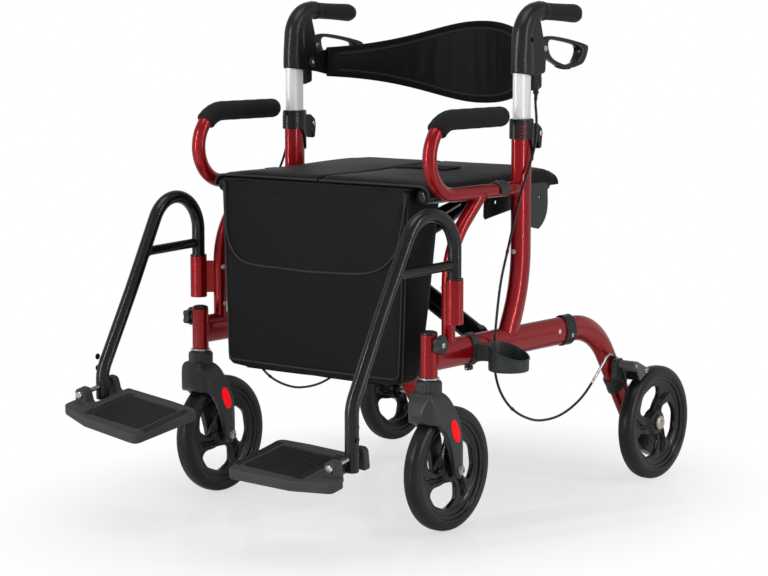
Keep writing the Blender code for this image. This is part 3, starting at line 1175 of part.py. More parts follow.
def cane_holder(black):
    """A strap round the left beam that carries an open cup for a walking stick."""
    front, rear = CUP_Y - 0.036, CUP_Y - 0.020
    strap = (BEAM_HALF_WIDE + 0.0030, BEAM_HALF_TALL + 0.0030)
    bore = (BEAM_HALF_WIDE + GAP, BEAM_HALF_TALL + GAP)
    rings = [section((SIDE_X, y, BEAM_Z), Y_AXIS, *half, OVAL_SIDES)
             for y, half in ((front, bore), (front, strap), (rear, strap), (rear, bore))]
    holder = solid("cane_holder", loft(rings, hollow=True), black)
    cup = shaft([(CUP_RADIUS, CUP_BOTTOM_Z, CUP_RIM_Z + 0.03)], (CUP_X, CUP_Y, 0), Z_AXIS, CUP_SIDES)
    join(holder, cup)
    join(holder, block(SIDE_X + BEAM_HALF_WIDE + 0.0015, CUP_X - 0.027, CUP_Y - 0.034, CUP_Y - 0.010,
                       0.272, 0.299))
    cut(holder, shaft([(CUP_RADIUS - CUP_WALL, CUP_BOTTOM_Z + CUP_WALL, CUP_RIM_Z + 0.05)],
                      (CUP_X, CUP_Y, 0), Z_AXIS, CUP_SIDES))
    reach = CUP_RADIUS + 0.001
    slant = [(CUP_X - reach, CUP_RIM_Z + CUP_SLANT * reach), (CUP_X + reach, CUP_RIM_Z - CUP_SLANT * reach),
             (CUP_X + reach, CUP_RIM_Z + 0.06), (CUP_X - reach, CUP_RIM_Z + 0.06)]
    cut(holder, prism(slant, CUP_Y - reach, CUP_Y + reach, 'Y'))
    return holder


def outline_middle():
    """Half-way between the cane cup's rim on the left and the rear wheel's cap on the right."""
    left = CUP_X + CUP_RADIUS * math.cos(math.pi / CUP_SIDES)
    right = REAR_WHEEL_X + REAR_HUB_HALF + CAP_THICK
    return 0.5 * (left - right)


def build():
    clear_scene()
    chair = bpy.data.objects.new("chair", None)
    chair.location.x = -outline_middle()
    bpy.context.scene.collection.objects.link(chair)
    red = material("candy_red", (0.36, 0.012, 0.02), 0.28, 0.65)
    satin = material("black_plastic", (0.035, 0.037, 0.040), 0.45)
    gloss = material("gloss_black_tube", (0.012, 0.012, 0.013), 0.18, 0.35)
    silver = material("silver_post", (0.82, 0.83, 0.82), 0.32, 0.55)
    steel = material("bright_steel", (0.62, 0.62, 0.60), 0.25, 1.0)
    foam = material("black_foam", (0.022, 0.022, 0.023), 0.85)
    rubber = material("black_rubber", (0.028, 0.028, 0.029), 0.60)
    grey = material("dark_grey_tray", (0.055, 0.056, 0.058), 0.62)
    fabric = material("black_fabric", (0.012, 0.012, 0.013), 0.80)
    wheel_y, wheel_z = leg_axle()
    for side in (1, -1):
        side_frame(side, red)
        rear_leg(side, red)
        beam_collar(side, satin)
        armrest_foam(side, foam)
        seat_saddle(side, satin)
        rear_plate(side, satin)
        height_collar(side, satin)
        clamp_lever(side, satin)
        handle_post(side, silver)
        handle_body(side, satin)
        grip(side, rubber)
        brake_lever(side, satin)
        brake_cable(side, satin)
        brake_bracket(side, satin)
        brake_arm(side, satin)
        wheel(side_name(side, "rear_wheel"), side, (REAR_WHEEL_X, wheel_y, wheel_z), rubber,
              AXLE_RADIUS + PIN_PLAY, REAR_HUB_HALF)
        rear_axle(side, steel)
        tip_pedal(side, satin)
        caster_fork(side, satin)
        caster_stem(side, steel)
        wheel(side_name(side, "caster_wheel"), side,
              (SIDE_X, HEAD_Y + CASTER_TRAIL, WHEEL_RADIUS), rubber,
              CASTER_AXLE_RADIUS + PIN_PLAY, FORK_INNER_HALF - 2 * GAP)
        caster_axle(side, steel)
        star_knob(side, satin)
        footrest_hanger(side, gloss)
        footplate(side, grey)
        footplate_pin(side, steel)
        seat_half(side, fabric)
    folding_arm(1, "cross_brace_a", gloss)
    folding_arm(-1, "cross_brace_b", gloss)
    brace_pivot(steel)
    bag(fabric)
    backrest(fabric)
    cane_holder(satin)


build()
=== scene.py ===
# Looks of a folding rollator that doubles as a transport chair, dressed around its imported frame
import json
from math import atan2, copysign, cos, degrees, exp, pi, radians, sin, sqrt, tan

import bmesh
import bpy
from mathutils import Matrix, Vector
from mathutils.bvhtree import BVHTree

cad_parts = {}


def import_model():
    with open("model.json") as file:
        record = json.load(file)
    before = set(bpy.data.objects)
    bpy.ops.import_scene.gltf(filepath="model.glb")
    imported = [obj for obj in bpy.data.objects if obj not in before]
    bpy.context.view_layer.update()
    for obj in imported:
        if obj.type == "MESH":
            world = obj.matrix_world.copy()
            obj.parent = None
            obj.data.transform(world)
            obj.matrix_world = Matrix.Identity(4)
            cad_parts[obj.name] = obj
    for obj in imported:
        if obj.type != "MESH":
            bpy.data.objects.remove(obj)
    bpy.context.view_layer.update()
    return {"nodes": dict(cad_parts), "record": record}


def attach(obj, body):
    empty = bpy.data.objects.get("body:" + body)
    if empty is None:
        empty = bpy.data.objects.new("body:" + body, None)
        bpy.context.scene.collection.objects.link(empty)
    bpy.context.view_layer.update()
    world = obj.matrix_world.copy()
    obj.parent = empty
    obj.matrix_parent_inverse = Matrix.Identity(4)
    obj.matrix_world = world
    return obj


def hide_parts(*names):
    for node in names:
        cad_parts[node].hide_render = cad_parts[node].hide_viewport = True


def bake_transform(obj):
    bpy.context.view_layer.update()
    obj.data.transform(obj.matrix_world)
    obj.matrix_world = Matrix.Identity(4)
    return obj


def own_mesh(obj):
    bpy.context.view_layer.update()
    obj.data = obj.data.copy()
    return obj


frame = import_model()
nodes = frame["nodes"]
bodyOf = {node: body for body, held in frame["record"]["behaviour"]["bodies"].items() for node in held}
print("frame loaded with", len(nodes), "nodes")

# sizes that several pieces share, in metres, on the left half: x from the chair's own middle plane
chair = {"shiftX": -.0140295, "sideX": .247, "beamZ": .289, "beamWide": .015, "beamTall": .024,
    "headY": -.195, "casterY": -.147, "axleY": .409905, "wheelZ": .1016, "rearWheelX": .294,
    "uprightY": .057, "uprightWide": .014, "uprightDeep": .0216, "hoopZ": .543, "hoopBend": .06,
    "tube": .0116, "railX": .213, "railZ": .54, "railRadius": .0125, "legWide": .0129, "legDeep": .0219,
    "legSlope": 55.4, "gap": .0003}
sides = {"left": 1, "right": -1}


class Value:
    # wraps a socket, so that sums of sockets are written as sums
    def __init__(self, finish, socket):
        self.finish = finish
        self.socket = socket

    def math(self, operation, first, second=0.0, third=0.0):
        return self.finish.node("ShaderNodeMath", {"operation": operation}, {0: first, 1: second, 2: third})

    def __add__(self, other):
        return self.math("ADD", self, other)

    def __sub__(self, other):
        return self.math("SUBTRACT", self, other)

    def __rsub__(self, other):
        return self.math("SUBTRACT", other, self)

    def __mul__(self, other):
        return self.math("MULTIPLY", self, other)

    __radd__ = __add__
    __rmul__ = __mul__

    def smooth(self, low, high):
        # 0 below low, 1 above high
        return self.finish.node("ShaderNodeMapRange", {"interpolation_type": "SMOOTHSTEP"},
            {0: self, 1: low, 2: high})

    def wave(self, length):
        # a soft 0 to 1 wave of this length in metres
        return self.math("SINE", self * (2 * pi / length)) * .5 + .5


class Graph:
    # a node tree whose nodes all come from one method
    def __init__(self, tree):
        self.tree = tree

    def feed(self, socket, value):
        if isinstance(value, Value):
            self.tree.links.new(value.socket, socket)
        elif socket.type == "RGBA" and len(value) == 3:
            socket.default_value = (*value, 1.0)
        else:
            socket.default_value = value

    def node(self, kind, settings, values, output=0):
        made = self.tree.nodes.new(kind)
        for word, value in settings.items():
            setattr(made, word, value)
        for key, value in values.items():
            self.feed(made.inputs[key], value)
        return Value(self, made.outputs[output])


class Finish(Graph):
    # one material on the Principled shader, named after its surface
    def __init__(self, name, gloss=.5, **constants):
        self.material = bpy.data.materials.new(name)
        self.material.use_nodes = True
        super().__init__(self.material.node_tree)
        self.shader = self.tree.nodes["Principled BSDF"]
        self.shader.inputs["Specular IOR Level"].default_value = gloss
        for word, value in constants.items():
            self.set(word, value)
        self.spot = self.node("ShaderNodeTexCoord", {}, {}, "Object")
        parts = self.node("ShaderNodeSeparateXYZ", {}, {0: self.spot})
        self.x, self.y, self.z = [Value(self, output) for output in parts.socket.node.outputs]

    def set(self, word, value):
        # baseColor is the shader's Base Color, and so on
        title = "".join(" " + letter if letter.isupper() else letter for letter in word)
        title = title[0].upper() + title[1:].replace("Ior", "IOR")
        self.feed(self.shader.inputs[title], value)

    def noise(self, scale, detail=2.0, where=None):
        values = {"Vector": where or self.spot, "Scale": scale, "Detail": detail}
        return self.node("ShaderNodeTexNoise", {}, values)

    def cells(self, scale, feature="F1"):
        return self.node("ShaderNodeTexVoronoi", {"feature": feature}, {"Vector": self.spot,
            "Scale": scale})

    def stretch(self, x, y, z):
        return self.node("ShaderNodeVectorMath", {"operation": "MULTIPLY"}, {0: self.spot, 1: (x, y, z)})

    def mix(self, factor, first, second):
        return self.node("ShaderNodeMix", {"data_type": "RGBA"}, {0: factor, 6: first, 7: second}, 2)

    def bump(self, height, strength, distance):
        values = {"Height": height, "Strength": strength, "Distance": distance}
        self.set("normal", self.node("ShaderNodeBump", {}, values))


def candyRed():
    # clear red lacquer over fine metal flakes
    look = {"deep": (.22, .0006, .003), "bright": (.42, .0016, .007), "flake": 2600}
    paint = Finish("candyRed", .3, metallic=.5, coatWeight=.6, coatRoughness=.07, coatIor=1.4)
    flakes = paint.cells(look["flake"])
    cloud = paint.noise(9.0, 3.0)
    paint.set("baseColor", paint.mix((cloud - .5) * .3 + flakes * .2 + .42, look["deep"], look["bright"]))
    paint.set("roughness", .26 + paint.noise(60.0) * .05)
    paint.bump(flakes, .03, .0001)
    return paint


def mottled(name, low, high, cloud, rough, bump=None, gloss=.5, **constants):
    # colour and roughness follow one noise, given by its scale, detail and stretch
    finish = Finish(name, gloss, **constants)
    mottle = finish.noise(*cloud[:2], finish.stretch(*cloud[2]) if len(cloud) > 2 else None)
    finish.set("baseColor", finish.mix(mottle, low, high))
    finish.set("roughness", rough[0] + mottle * rough[1])
    if bump:
        kind, scale, strength, distance = bump
        patterns = {"same": lambda: mottle, "noise": lambda: finish.noise(scale),
            "cells": lambda: finish.cells(scale), "pores": lambda: finish.cells(scale,
            "DISTANCE_TO_EDGE").smooth(0.0, .3)}
        finish.bump(patterns[kind](), strength, distance)
    return finish


def dimmed(colour, by):
    return tuple(channel * by for channel in colour)


def moulded(name, colour, rough, gloss=.2, grainDepth=.22):
    # fine-grained moulded plastic, a little blushed by handling
    plastic = Finish(name, gloss)
    grain = plastic.noise(1500.0, 3.0)
    blush = plastic.noise(14.0, 3.0)
    plastic.set("baseColor", plastic.mix(blush, dimmed(colour, .72), dimmed(colour, 1.28)))
    plastic.set("roughness", rough + (blush - .5) * .16 + (grain - .5) * .1)
    plastic.bump(grain, grainDepth, .0002)
    return plastic


def steel(name="brightSteel", colour=(.62, .62, .61), rough=.18):
    return mottled(name, dimmed(colour, .8), colour, (300.0, 2.0), (rough, .16), ("same", 0, .04, .0002),
        metallic=1.0)


def trayGrey(name="trayGrey", low=(.042, .042, .043), high=(.068, .069, .07)):
    return mottled(name, low, high, (20.0, 4.0), (.46, .2), ("cells", 620, .35, .0004), .18)


def cloth(name, colour, rough, gloss=.07):
    # coated woven polyester: the weave shows only close to
    look = {"thread": .0011, "depth": .0003}
    fabric = Finish(name, gloss, sheenWeight=.025, sheenRoughness=.4)
    warp = (fabric.x + fabric.y).wave(look["thread"])
    weft = (fabric.z + fabric.y * .35).wave(look["thread"])
    weave = warp * weft + (1 - warp) * (1 - weft)
    cloud = fabric.noise(11.0, 4.0)
    fabric.set("baseColor", fabric.mix(cloud * .7 + weave * .3, colour,
        tuple(channel * 1.7 for channel in colour)))
    fabric.set("roughness", rough + cloud * .16)
    fabric.bump(weave + fabric.noise(70.0, 3.0) * 1.5, .35, look["depth"])
    return fabric


def glowingRedLens():
    # the lens glows a little by emission in its own red: painted light, standing in for the light a
    # reflector sends back
    lens = Finish("redReflectorPaintedGlow", .08, roughness=.25, coatWeight=.1, coatRoughness=.05,
        emissionStrength=.45)
    prisms = lens.cells(900)
    lensColourAndGlow = lens.mix(prisms, (.88, .0005, .004), (1.0, .002, .01))
    lens.set("baseColor", lensColourAndGlow)
    lens.set("emissionColor", lensColourAndGlow)
    lens.bump(prisms, .4, .0004)
    return lens


red = candyRed()
black = moulded("mouldedBlack", (.009, .0093, .01), .28, .38)
darkGrip = moulded("gripRubber", (.008, .008, .0084), .42, .2)
tubeBlack = mottled("glossTube", (.004, .004, .0045), (.009, .009, .01), (12.0, 3.0), (.22, .1),
    ("noise", 420.0, .05, .0002), .3, coatWeight=.35, coatRoughness=.06, coatIor=1.4)
silver = mottled("satinPost", (.86, .87, .85), (.94, .95, .93), (60.0, 3.0, (18, 18, .5)), (.28, .14),
    ("same", 0, .05, .0002), metallic=.15)
chrome = steel()
foamBlack = mottled("foamSleeve", (.008, .008, .0085), (.02, .02, .021), (25.0, 4.0), (.86, .1),
    ("pores", 900, .45, .0006), .06, sheenWeight=.06, sheenRoughness=.6)
tray = trayGrey()
padRubber = trayGrey("treadPad", (.01, .01, .0105), (.017, .017, .0175))
fabric = cloth("coatedCloth", (.0034, .0034, .0037), .4, .12)
tape = cloth("bindingTape", (.0044, .0044, .0046), .6, .06)
# the piping cord is paler than the cloth: its cord is real, and its paler colour is partly painted
# highlight, standing in for the light caught along its edge
piping = cloth("pipingCordAndPaintedSheen", (.022, .022, .0226), .4, .2)
stitch = mottled("stitchThread", (.03, .03, .031), (.06, .06, .062), (2600.0, 2.0), (.6, .2), None, .2)
tyreBlack = mottled("solidTyre", (.006, .006, .006), (.017, .017, .017), (38.0, 5.0), (.22, .18),
    ("noise", 900.0, .12, .0002), .32)
rimBlack = moulded("mouldedRim", (.0065, .0065, .0068), .2, .42, .12)
forkGrey = moulded("forkGrey", (.032, .0327, .0342), .3, .36)
brakeGrey = moulded("brakeGrey", (.105, .108, .112), .42, .3)
strapGrey = moulded("strapGrey", (.034, .04, .039), .4, .28)
plug = moulded("whitePlug", (.62, .6, .57), .4, .4, .05)
lens = glowingRedLens()
stripeRed = moulded("stripeRed", (.22, .008, .01), .45, .3)
paleBolt = steel("paleBolt", (.74, .66, .5), .22)
print("finishes made:", len(bpy.data.materials))


def addPiece(name, bm, body, finishList, side=1, smoothAngle=38, even=True):
    # turns a bmesh drawn on the left half into a piece, which rides on a body if one is named
    place = Matrix.Translation((chair["shiftX"], 0, 0)) @ Matrix.Diagonal((side, 1, 1, 1))
    bmesh.ops.transform(bm, matrix=place, verts=bm.verts)
    bmesh.ops.recalc_face_normals(bm, faces=bm.faces)
    mesh = meshOf(bm, name)
    mesh.shade_smooth()
    mesh.set_sharp_from_angle(angle=radians(smoothAngle))
    for finish in finishList:
        mesh.materials.append(finish.material)
    piece = stood(name, mesh)
    if even:
        piece.modifiers.new("evenShade", "WEIGHTED_NORMAL").keep_sharp = True
    if body:
        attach(piece, body)
    return piece


def dress(name, bm, node, finishList, side=1, smoothAngle=38, even=True):
    # a piece that takes the place of one node of the frame
    piece = addPiece(name, bm, bodyOf[node], finishList, side, smoothAngle, even)
    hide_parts(node)
    return piece


def dressSide(word, name, node, bm, finishList, smoothAngle=38):
    return dress(word + name, bm, word + "_" + node, finishList, sides[word], smoothAngle)


def bothSides(*builders):
    for word, side in sides.items():
        for build in builders:
            build(word, side)


def meshOf(bm, name):
    mesh = bpy.data.meshes.new(name)
    bm.to_mesh(mesh)
    bm.free()
    return mesh


def stood(name, data):
    # an object in the scene
    made = bpy.data.objects.new(name, data)
    bpy.context.scene.collection.objects.link(made)
    return made


def skin(bm, rings, capped=True, looped=False, finishIndex=0):
    # joins closed rings of equal count with quads
    loops = [[bm.verts.new(point) for point in ring] for ring in rings]
    pairs = list(zip(loops, loops[1:]))
    if looped:
        pairs.append((loops[-1], loops[0]))
    count = len(loops[0])
    for low, high in pairs:
        for index in range(count):
            following = (index + 1) % count
            face = bm.faces.new((low[index], low[following], high[following], high[index]))
            face.material_index = finishIndex
    if capped and not looped:
        for loop in (loops[0], loops[-1]):
            bm.faces.new(loop).material_index = finishIndex


def arcPoints(centre, radius, start, end, steps):
    turns = [radians(start + (end - start) * step / steps) for step in range(steps + 1)]
    return [Vector((centre[0] + radius * cos(turn), centre[1] + radius * sin(turn))) for turn in turns]


def polar(radius, angle):
    return Vector((radius * cos(radians(angle)), radius * sin(radians(angle))))


def inPlane(points, x=chair["sideX"]):
    # (y, z) points in the side frame's plane
    return [Vector((x, point[0], point[1])) for point in points]


def smoothLine(points, spacing, closed=False):
    # near-even points on one smooth curve through the given ones
    points = [Vector(point) for point in points]
    if closed:
        ends = [points[-1]] + points + [points[0], points[1]]
    else:
        ends = [2 * points[0] - points[1]] + points + [2 * points[-1] - points[-2]]
    result = []
    for index in range(1, len(ends) - 2):
        p0, p1, p2, p3 = ends[index - 1:index + 3]
        steps = max(1, round((p2 - p1).length / spacing))
        for step in range(steps):
            t = step / steps
            result.append(.5 * ((2 * p1) + (p2 - p0) * t + (2 * p0 - 5 * p1 + 4 * p2 - p3) * t * t + (3 * p1
                - p0 - 3 * p2 + p3) * t ** 3))
    return result if closed else result + [points[-1]]


def roundCorners(outline, radii, steps=6):
    # rounds the corners of a closed flat outline, by one radius or one for each corner
    radii = radii if isinstance(radii, (list, tuple)) else [radii] * len(outline)
    result = []
    for index, reach in enumerate(radii):
        corner = Vector(outline[index])
        before = Vector(outline[index - 1]) - corner
        after = Vector(outline[(index + 1) % len(outline)]) - corner
        if reach <= 0:
            result.append(corner)
            continue
        half = before.angle(after) / 2
        cut = min(reach / tan(half), .48 * before.length, .48 * after.length)
        first = corner + before.normalized() * cut
        final = corner + after.normalized() * cut
        for step in range(steps + 1):
            share = step / steps
            result.append(first.lerp(corner, share).lerp(corner.lerp(final, share), share))
    return result


def smoothstep(low, high, value):
    share = min(1.0, max(0.0, (value - low) / (high - low)))
    return share * share * (3 - 2 * share)


def blendList(values, share):
    # reads a list of even stations at a share from 0 to 1
    spot = share * (len(values) - 1)
    low = min(int(spot), len(values) - 2)
    return values[low] + (values[low + 1] - values[low]) * (spot - low)


def wayAt(path, index, closed=False):
    before = path[index - 1] if index or closed else path[0]
    after = path[(index + 1) % len(path)] if index + 1 < len(path) or closed else path[-1]
    return (after - before).normalized()


def turnPairs(count, power=1.0, start=.5):
    # cosine and sine at even turns; a power below 1 squares the ring off
    angles = [2 * pi * (step + start) / count for step in range(count)]
    return [[copysign(abs(part) ** power, part) for part in (cos(angle), sin(angle))] for angle in angles]


def ringAt(point, way, wide, deep, count, corner=2.0):
    # one cross-section: wide lies along x, deep square to it and to the way
    guide = Vector((0, 1, 0)) if abs(way.x) > .9 else Vector((1, 0, 0))
    across = (guide - way * way.dot(guide)).normalized()
    up = across.cross(way)
    return [point + across * (wide * c) + up * (deep * s) for c, s in turnPairs(count, 2 / corner)]


def sweep(bm, path, wide, deep=None, count=32, corner=2.0, soft=0.0, finishIndex=0):
    # a bar along a path; sizes may be lists, and soft rounds both ends
    path = [Vector(point) for point in path]
    deep = wide if deep is None else deep
    wides = wide if isinstance(wide, list) else [wide] * len(path)
    deeps = deep if isinstance(deep, list) else [deep] * len(path)
    stations = list(zip(path, wides, deeps))
    if soft:
        for end in (0, -1):
            spot, w, d = stations[end]
            way = (path[1 if end == 0 else -2] - spot).normalized()
            lip = [(spot + way * soft * into, w - soft * by, d - soft * by) for into, by in ((0, 1),
                (.13, .5), (.5, .13), (1, 0))]
            stations = lip + stations[1:] if end == 0 else stations[:-1] + lip[::-1]
    spots = [spot for spot, w, d in stations]
    skin(bm, [ringAt(spot, wayAt(spots, index), w, d, count, corner) for index,
        (spot, w, d) in enumerate(stations)], finishIndex=finishIndex)


def circle(centre, axis, radius, count):
    # a ring of points square to an axis
    axis = Vector(axis).normalized()
    across = axis.orthogonal().normalized()
    up = axis.cross(across)
    return [Vector(centre) + (across * c + up * s) * radius for c, s in turnPairs(count, 1, 0)]


def turn(bm, profile, centre, axis, count=32, looped=False, finishIndex=0):
    # spins (radius, height) points about an axis
    axis = Vector(axis).normalized()
    skin(bm, [circle(Vector(centre) + axis * height, axis, radius, count) for radius, height in profile],
        not looped, looped, finishIndex)


def lathe(bm, centre, axis, *rows):
    # shapes turned about one axis, each given by its count, its finish and its profile
    for count, finishIndex, profile in rows:
        turn(bm, profile, centre, axis, count, finishIndex=finishIndex)


def mirrored(profile):
    # a profile carried over to the other side of its middle plane
    return [(radius, -height) for radius, height in profile] + profile[::-1]


def tube(bm, path, radius, count=10, finishIndex=0, closed=False, ripple=0.0):
    # a round cord along a path, in a steady frame; ripple swells it now and then like a weld
    points = [Vector(point) for point in path]
    pairs = turnPairs(count, 1, 0)
    rings = []
    last = None
    for index, point in enumerate(points):
        way = wayAt(points, index, closed)
        last = last or way.orthogonal().normalized()
        last = (last - way * last.dot(way)).normalized()
        up = way.cross(last)
        size = radius * (1 + ripple * sin(index * 2.1))
        rings.append([point + (last * c + up * s) * size for c, s in pairs])
    skin(bm, rings, not closed, closed, finishIndex)


def rib(bm, x, y, z, half, radius, bowY=0.0, bowZ=0.0, finishIndex=0):
    # a small raised bar across x, its middle bowed
    tube(bm, [(x - half, y, z), (x, y + bowY, z + bowZ), (x + half, y, z)], radius, 6, finishIndex)


def ribbon(bm, points, normals, halfWide, halfThick, finishIndex=0, count=12, corner=3.0):
    # a flat band that lies along points, square to their normals
    pairs = turnPairs(count, 2 / corner)
    rings = []
    for index, point in enumerate(points):
        way = wayAt(points, index)
        out = (normals[index] - way * way.dot(normals[index])).normalized()
        across = way.cross(out)
        rings.append([point + across * (halfWide * c) + out * (halfThick * s) for c, s in pairs])
    skin(bm, rings, finishIndex=finishIndex)


def inset(outline, by):
    # moves a closed flat outline inwards
    count = len(outline)
    area = sum(outline[i].x * outline[(i + 1) % count].y - outline[(i + 1) % count].x * outline[i].y
        for i in range(count))
    result = []
    for index, point in enumerate(outline):
        before = (point - outline[index - 1]).normalized()
        after = (outline[(index + 1) % count] - point).normalized()
        way = (before + after).normalized()
        inward = Vector((-way.y, way.x)) * copysign(1, area)
        mitre = max(.6, abs(way.dot(before)))
        result.append(point + inward * (by / mitre))
    return result


def plate(bm, outline, low, high, axis="X", edge=.0008, steps=3, finishIndex=0):
    # a flat outline carried square to itself, with rounded edges
    outline = [Vector(point) for point in outline]
    lips = []
    for step in range(steps + 1 if edge else 1):
        angle = radians(90 * step / steps)
        lips.append((edge * (1 - sin(angle)), edge * (1 - cos(angle))))
    levels = [(by, low + up) for by, up in lips] + [(by, high - up) for by, up in lips[::-1]]
    rings = []
    for by, height in levels:
        flat = inset(outline, by) if by > 1e-7 else outline
        rings.append([Vector({"X": (height, p.x, p.y), "Y": (p.x, height, p.y), "Z": (p.x, p.y,
            height)}[axis]) for p in flat])
    skin(bm, rings, finishIndex=finishIndex)


def drawn(build, *args, **sizes):
    # a fresh bmesh that holds one shape
    bm = bmesh.new()
    build(bm, *args, **sizes)
    return bm


def less(build, *args):
    return "DIFFERENCE", drawn(build, *args)


def plus(build, *args):
    return "UNION", drawn(build, *args)


def carved(bm, steps, voxel=0.0, rounds=0):
    # takes other shapes from a shape or adds them, then melts its edges by a fine remesh
    shapes = [bm] + [shape for operation, shape in steps]
    for shape in shapes:
        bmesh.ops.recalc_face_normals(shape, faces=shape.faces)
    piece, *tools = [stood("rough", meshOf(shape, "rough")) for shape in shapes]
    for (operation, shape), tool in zip(steps, tools):
        cut = piece.modifiers.new("cut", "BOOLEAN")
        cut.operation, cut.solver, cut.object = operation, "EXACT", tool
    if voxel:
        melt = piece.modifiers.new("melt", "REMESH")
        melt.mode, melt.voxel_size = "VOXEL", voxel
        piece.modifiers.new("ease", "SMOOTH").iterations = rounds
    mesh = bpy.data.meshes.new_from_object(piece.evaluated_get(bpy.context.evaluated_depsgraph_get()))
    result = bmesh.new()
    result.from_mesh(mesh)
    bpy.data.meshes.remove(mesh)
    for made in [piece] + tools:
        rough = made.data
        bpy.data.objects.remove(made)
        bpy.data.meshes.remove(rough)
    return result


def merged(bm, other):
    # adds a second bmesh to a first
    mesh = meshOf(other, "merge")
    bm.from_mesh(mesh)
    bpy.data.meshes.remove(mesh)
    return bm


def screw(bm, centre, axis, radius, high, finishIndex=0, sidesCount=28, socket=True):
    # a bolt head: six sides make it a hex, many make it a domed head
    hexagonal = sidesCount == 6
    shape = [(radius, -.4 * high), (radius, .72 * high if hexagonal else .35 * high),
        (.86 * radius, .95 * high if hexagonal else .8 * high), (.6 * radius, high)]
    if socket:
        shape += [(.48 * radius, high), (.44 * radius, .9 * high), (.42 * radius, .35 * high)]
    turn(bm, shape, centre, axis, sidesCount, finishIndex=finishIndex)


def bead(bm, host, ring, way, size=.0015, finishIndex=0):
    # a weld bead where a tube, given by a ring behind its end, meets the host's surface
    tree = BVHTree.FromBMesh(host)
    hits = [tree.ray_cast(point, way)[0] for point in ring]
    hits = [hit for hit in hits if hit is not None]
    if len(hits) > 5:
        tube(bm, smoothLine(hits, .0016, True), size, 8, finishIndex, True, .16)


def evaluatedTree(piece):
    graph = bpy.context.evaluated_depsgraph_get()
    return BVHTree.FromObject(piece, graph)


def laid(tree, spots, way, lift):
    # drops points on a surface along a way: the points lifted off it, and their normals
    points, normals = [], []
    for spot in spots:
        hit, normal = tree.ray_cast(spot, way)[:2]
        if hit is None:
            continue
        if normal.dot(way) > 0:
            normal = -normal
        points.append(hit + normal * lift)
        normals.append(normal)
    return points, normals


def stitches(bm, points, finishIndex=0, dash=.003, gap=.0018, radius=.00035):
    # a row of short threads along a line
    travelled, start = 0.0, None
    for first, second in zip(points, points[1:]):
        length = (second - first).length
        along = 0.0
        while length - along > 1e-9:
            phase = travelled % (dash + gap)
            left = (dash if phase < dash else dash + gap) - phase + 1e-7
            step = min(left, length - along)
            if phase < dash and start is None:
                start = first + (second - first) * (along / length)
            along += step
            travelled += step
            if start is not None and travelled % (dash + gap) >= dash:
                end = first + (second - first) * (along / length)
                if (end - start).length > .3 * dash:
                    tube(bm, [start, start.lerp(end, .5), end], radius, 5, finishIndex)
                start = None


# wheels: a moulded rim with three swept spokes and a smooth solid tyre
wheelLook = {"radius": .1016, "half": .015, "rim": .0852, "hub": .019, "hubHalf": .0136, "webHalf": .0046,
    "ribHigh": .0042, "ribHalf": .0046, "groove": .0016, "webOut": .0715, "spokeHubAngle": 196,
    "spokeRimAngle": 163, "tyreSides": 120}


def openingOutline():
    corners = [(.0235, 150, .006), (.0345, 163, .008), (.057, 150, .014), (.0675, 125, .02),
        (.0672, 95, .02), (.0625, 76, .01), (.05, 74, .012), (.033, 90, .01), (.0225, 115, .007)]
    return roundCorners([polar(radius, angle) for radius, angle, bend in corners], [bend for radius, angle,
        bend in corners], 8)


def rayToOutline(centre, way, outline):
    # how far a ray from inside an outline goes before it leaves
    best = 0.0
    for index, start in enumerate(outline):
        edge = outline[(index + 1) % len(outline)] - start
        cross = way.x * edge.y - way.y * edge.x
        if abs(cross) < 1e-12:
            continue
        gap = start - centre
        reach = (gap.x * edge.y - gap.y * edge.x) / cross
        share = (gap.x * way.y - gap.y * way.x) / cross
        if reach > 0 and -1e-9 <= share <= 1 + 1e-9:
            best = max(best, reach)
    return best


def spokeAngle(radius):
    look = wheelLook
    share = (radius - look["hub"]) / (look["webOut"] - look["hub"])
    return look["spokeHubAngle"] + (look["spokeRimAngle"] - look["spokeHubAngle"]) * share


def webHeight(point):
    # half thickness of the web at a point, with a double ridge along each spoke
    look = wheelLook
    radius = point.length
    angle = degrees(atan2(point.y, point.x))
    off = (angle - spokeAngle(radius) + 60) % 120 - 60
    distance = abs(radians(off)) * radius
    rib = 1 - smoothstep(look["ribHalf"] * .75, look["ribHalf"] * 1.15, distance)
    rib -= .62 * (1 - smoothstep(look["groove"] * .5, look["groove"] * 1.4, distance))
    rib *= 1 - smoothstep(.06, .0665, radius)
    hub = 1 - smoothstep(.0195, .0265, radius)
    rim = smoothstep(.067, .0712, radius)
    return look["webHalf"] + look["ribHigh"] * max(rib, hub * 1.3) + .0022 * rim


def wheelWeb(bm):
    # the web is drawn cell by cell: rings run from each opening out to the spokes' middle lines
    near, far = wheelLook["hub"] - .002, wheelLook["webOut"]
    outline = openingOutline()
    middle = sum(outline, Vector((0, 0))) / len(outline)
    out = [near + (far - near) * step / 22 for step in range(22)]
    back = [far + (near - far) * step / 22 for step in range(22)]
    cell = [(radius, spokeAngle(radius) - 120) for radius in out]
    cell += [(far, spokeAngle(far) - 120 + 120 * step / 30) for step in range(30)]
    cell += [(radius, spokeAngle(radius)) for radius in back]
    cell += [(near, spokeAngle(near) - 120 * step / 10) for step in range(10)]
    edge = [polar(radius, angle) for radius, angle in cell]
    shares = (0, .02, .06, .12, .2, .3, .4, .5, .6, .68, .76, .83, .89, .94, .97, 1)
    for third in range(3):
        spin = Matrix.Rotation(radians(120 * third), 2)
        for face in (1, -1):
            rings = []
            for share in shares:
                lip = sqrt(max(0.0, 1 - (1 - min(1.0, share / .12)) ** 2))
                ring = []
                for point in edge:
                    way = (point - middle).normalized()
                    inner = middle + way * rayToOutline(middle, way, outline)
                    flat = spin @ inner.lerp(point, share)
                    ring.append(Vector((face * webHeight(flat) * lip, *flat)))
                rings.append(ring)
            skin(bm, rings, False)


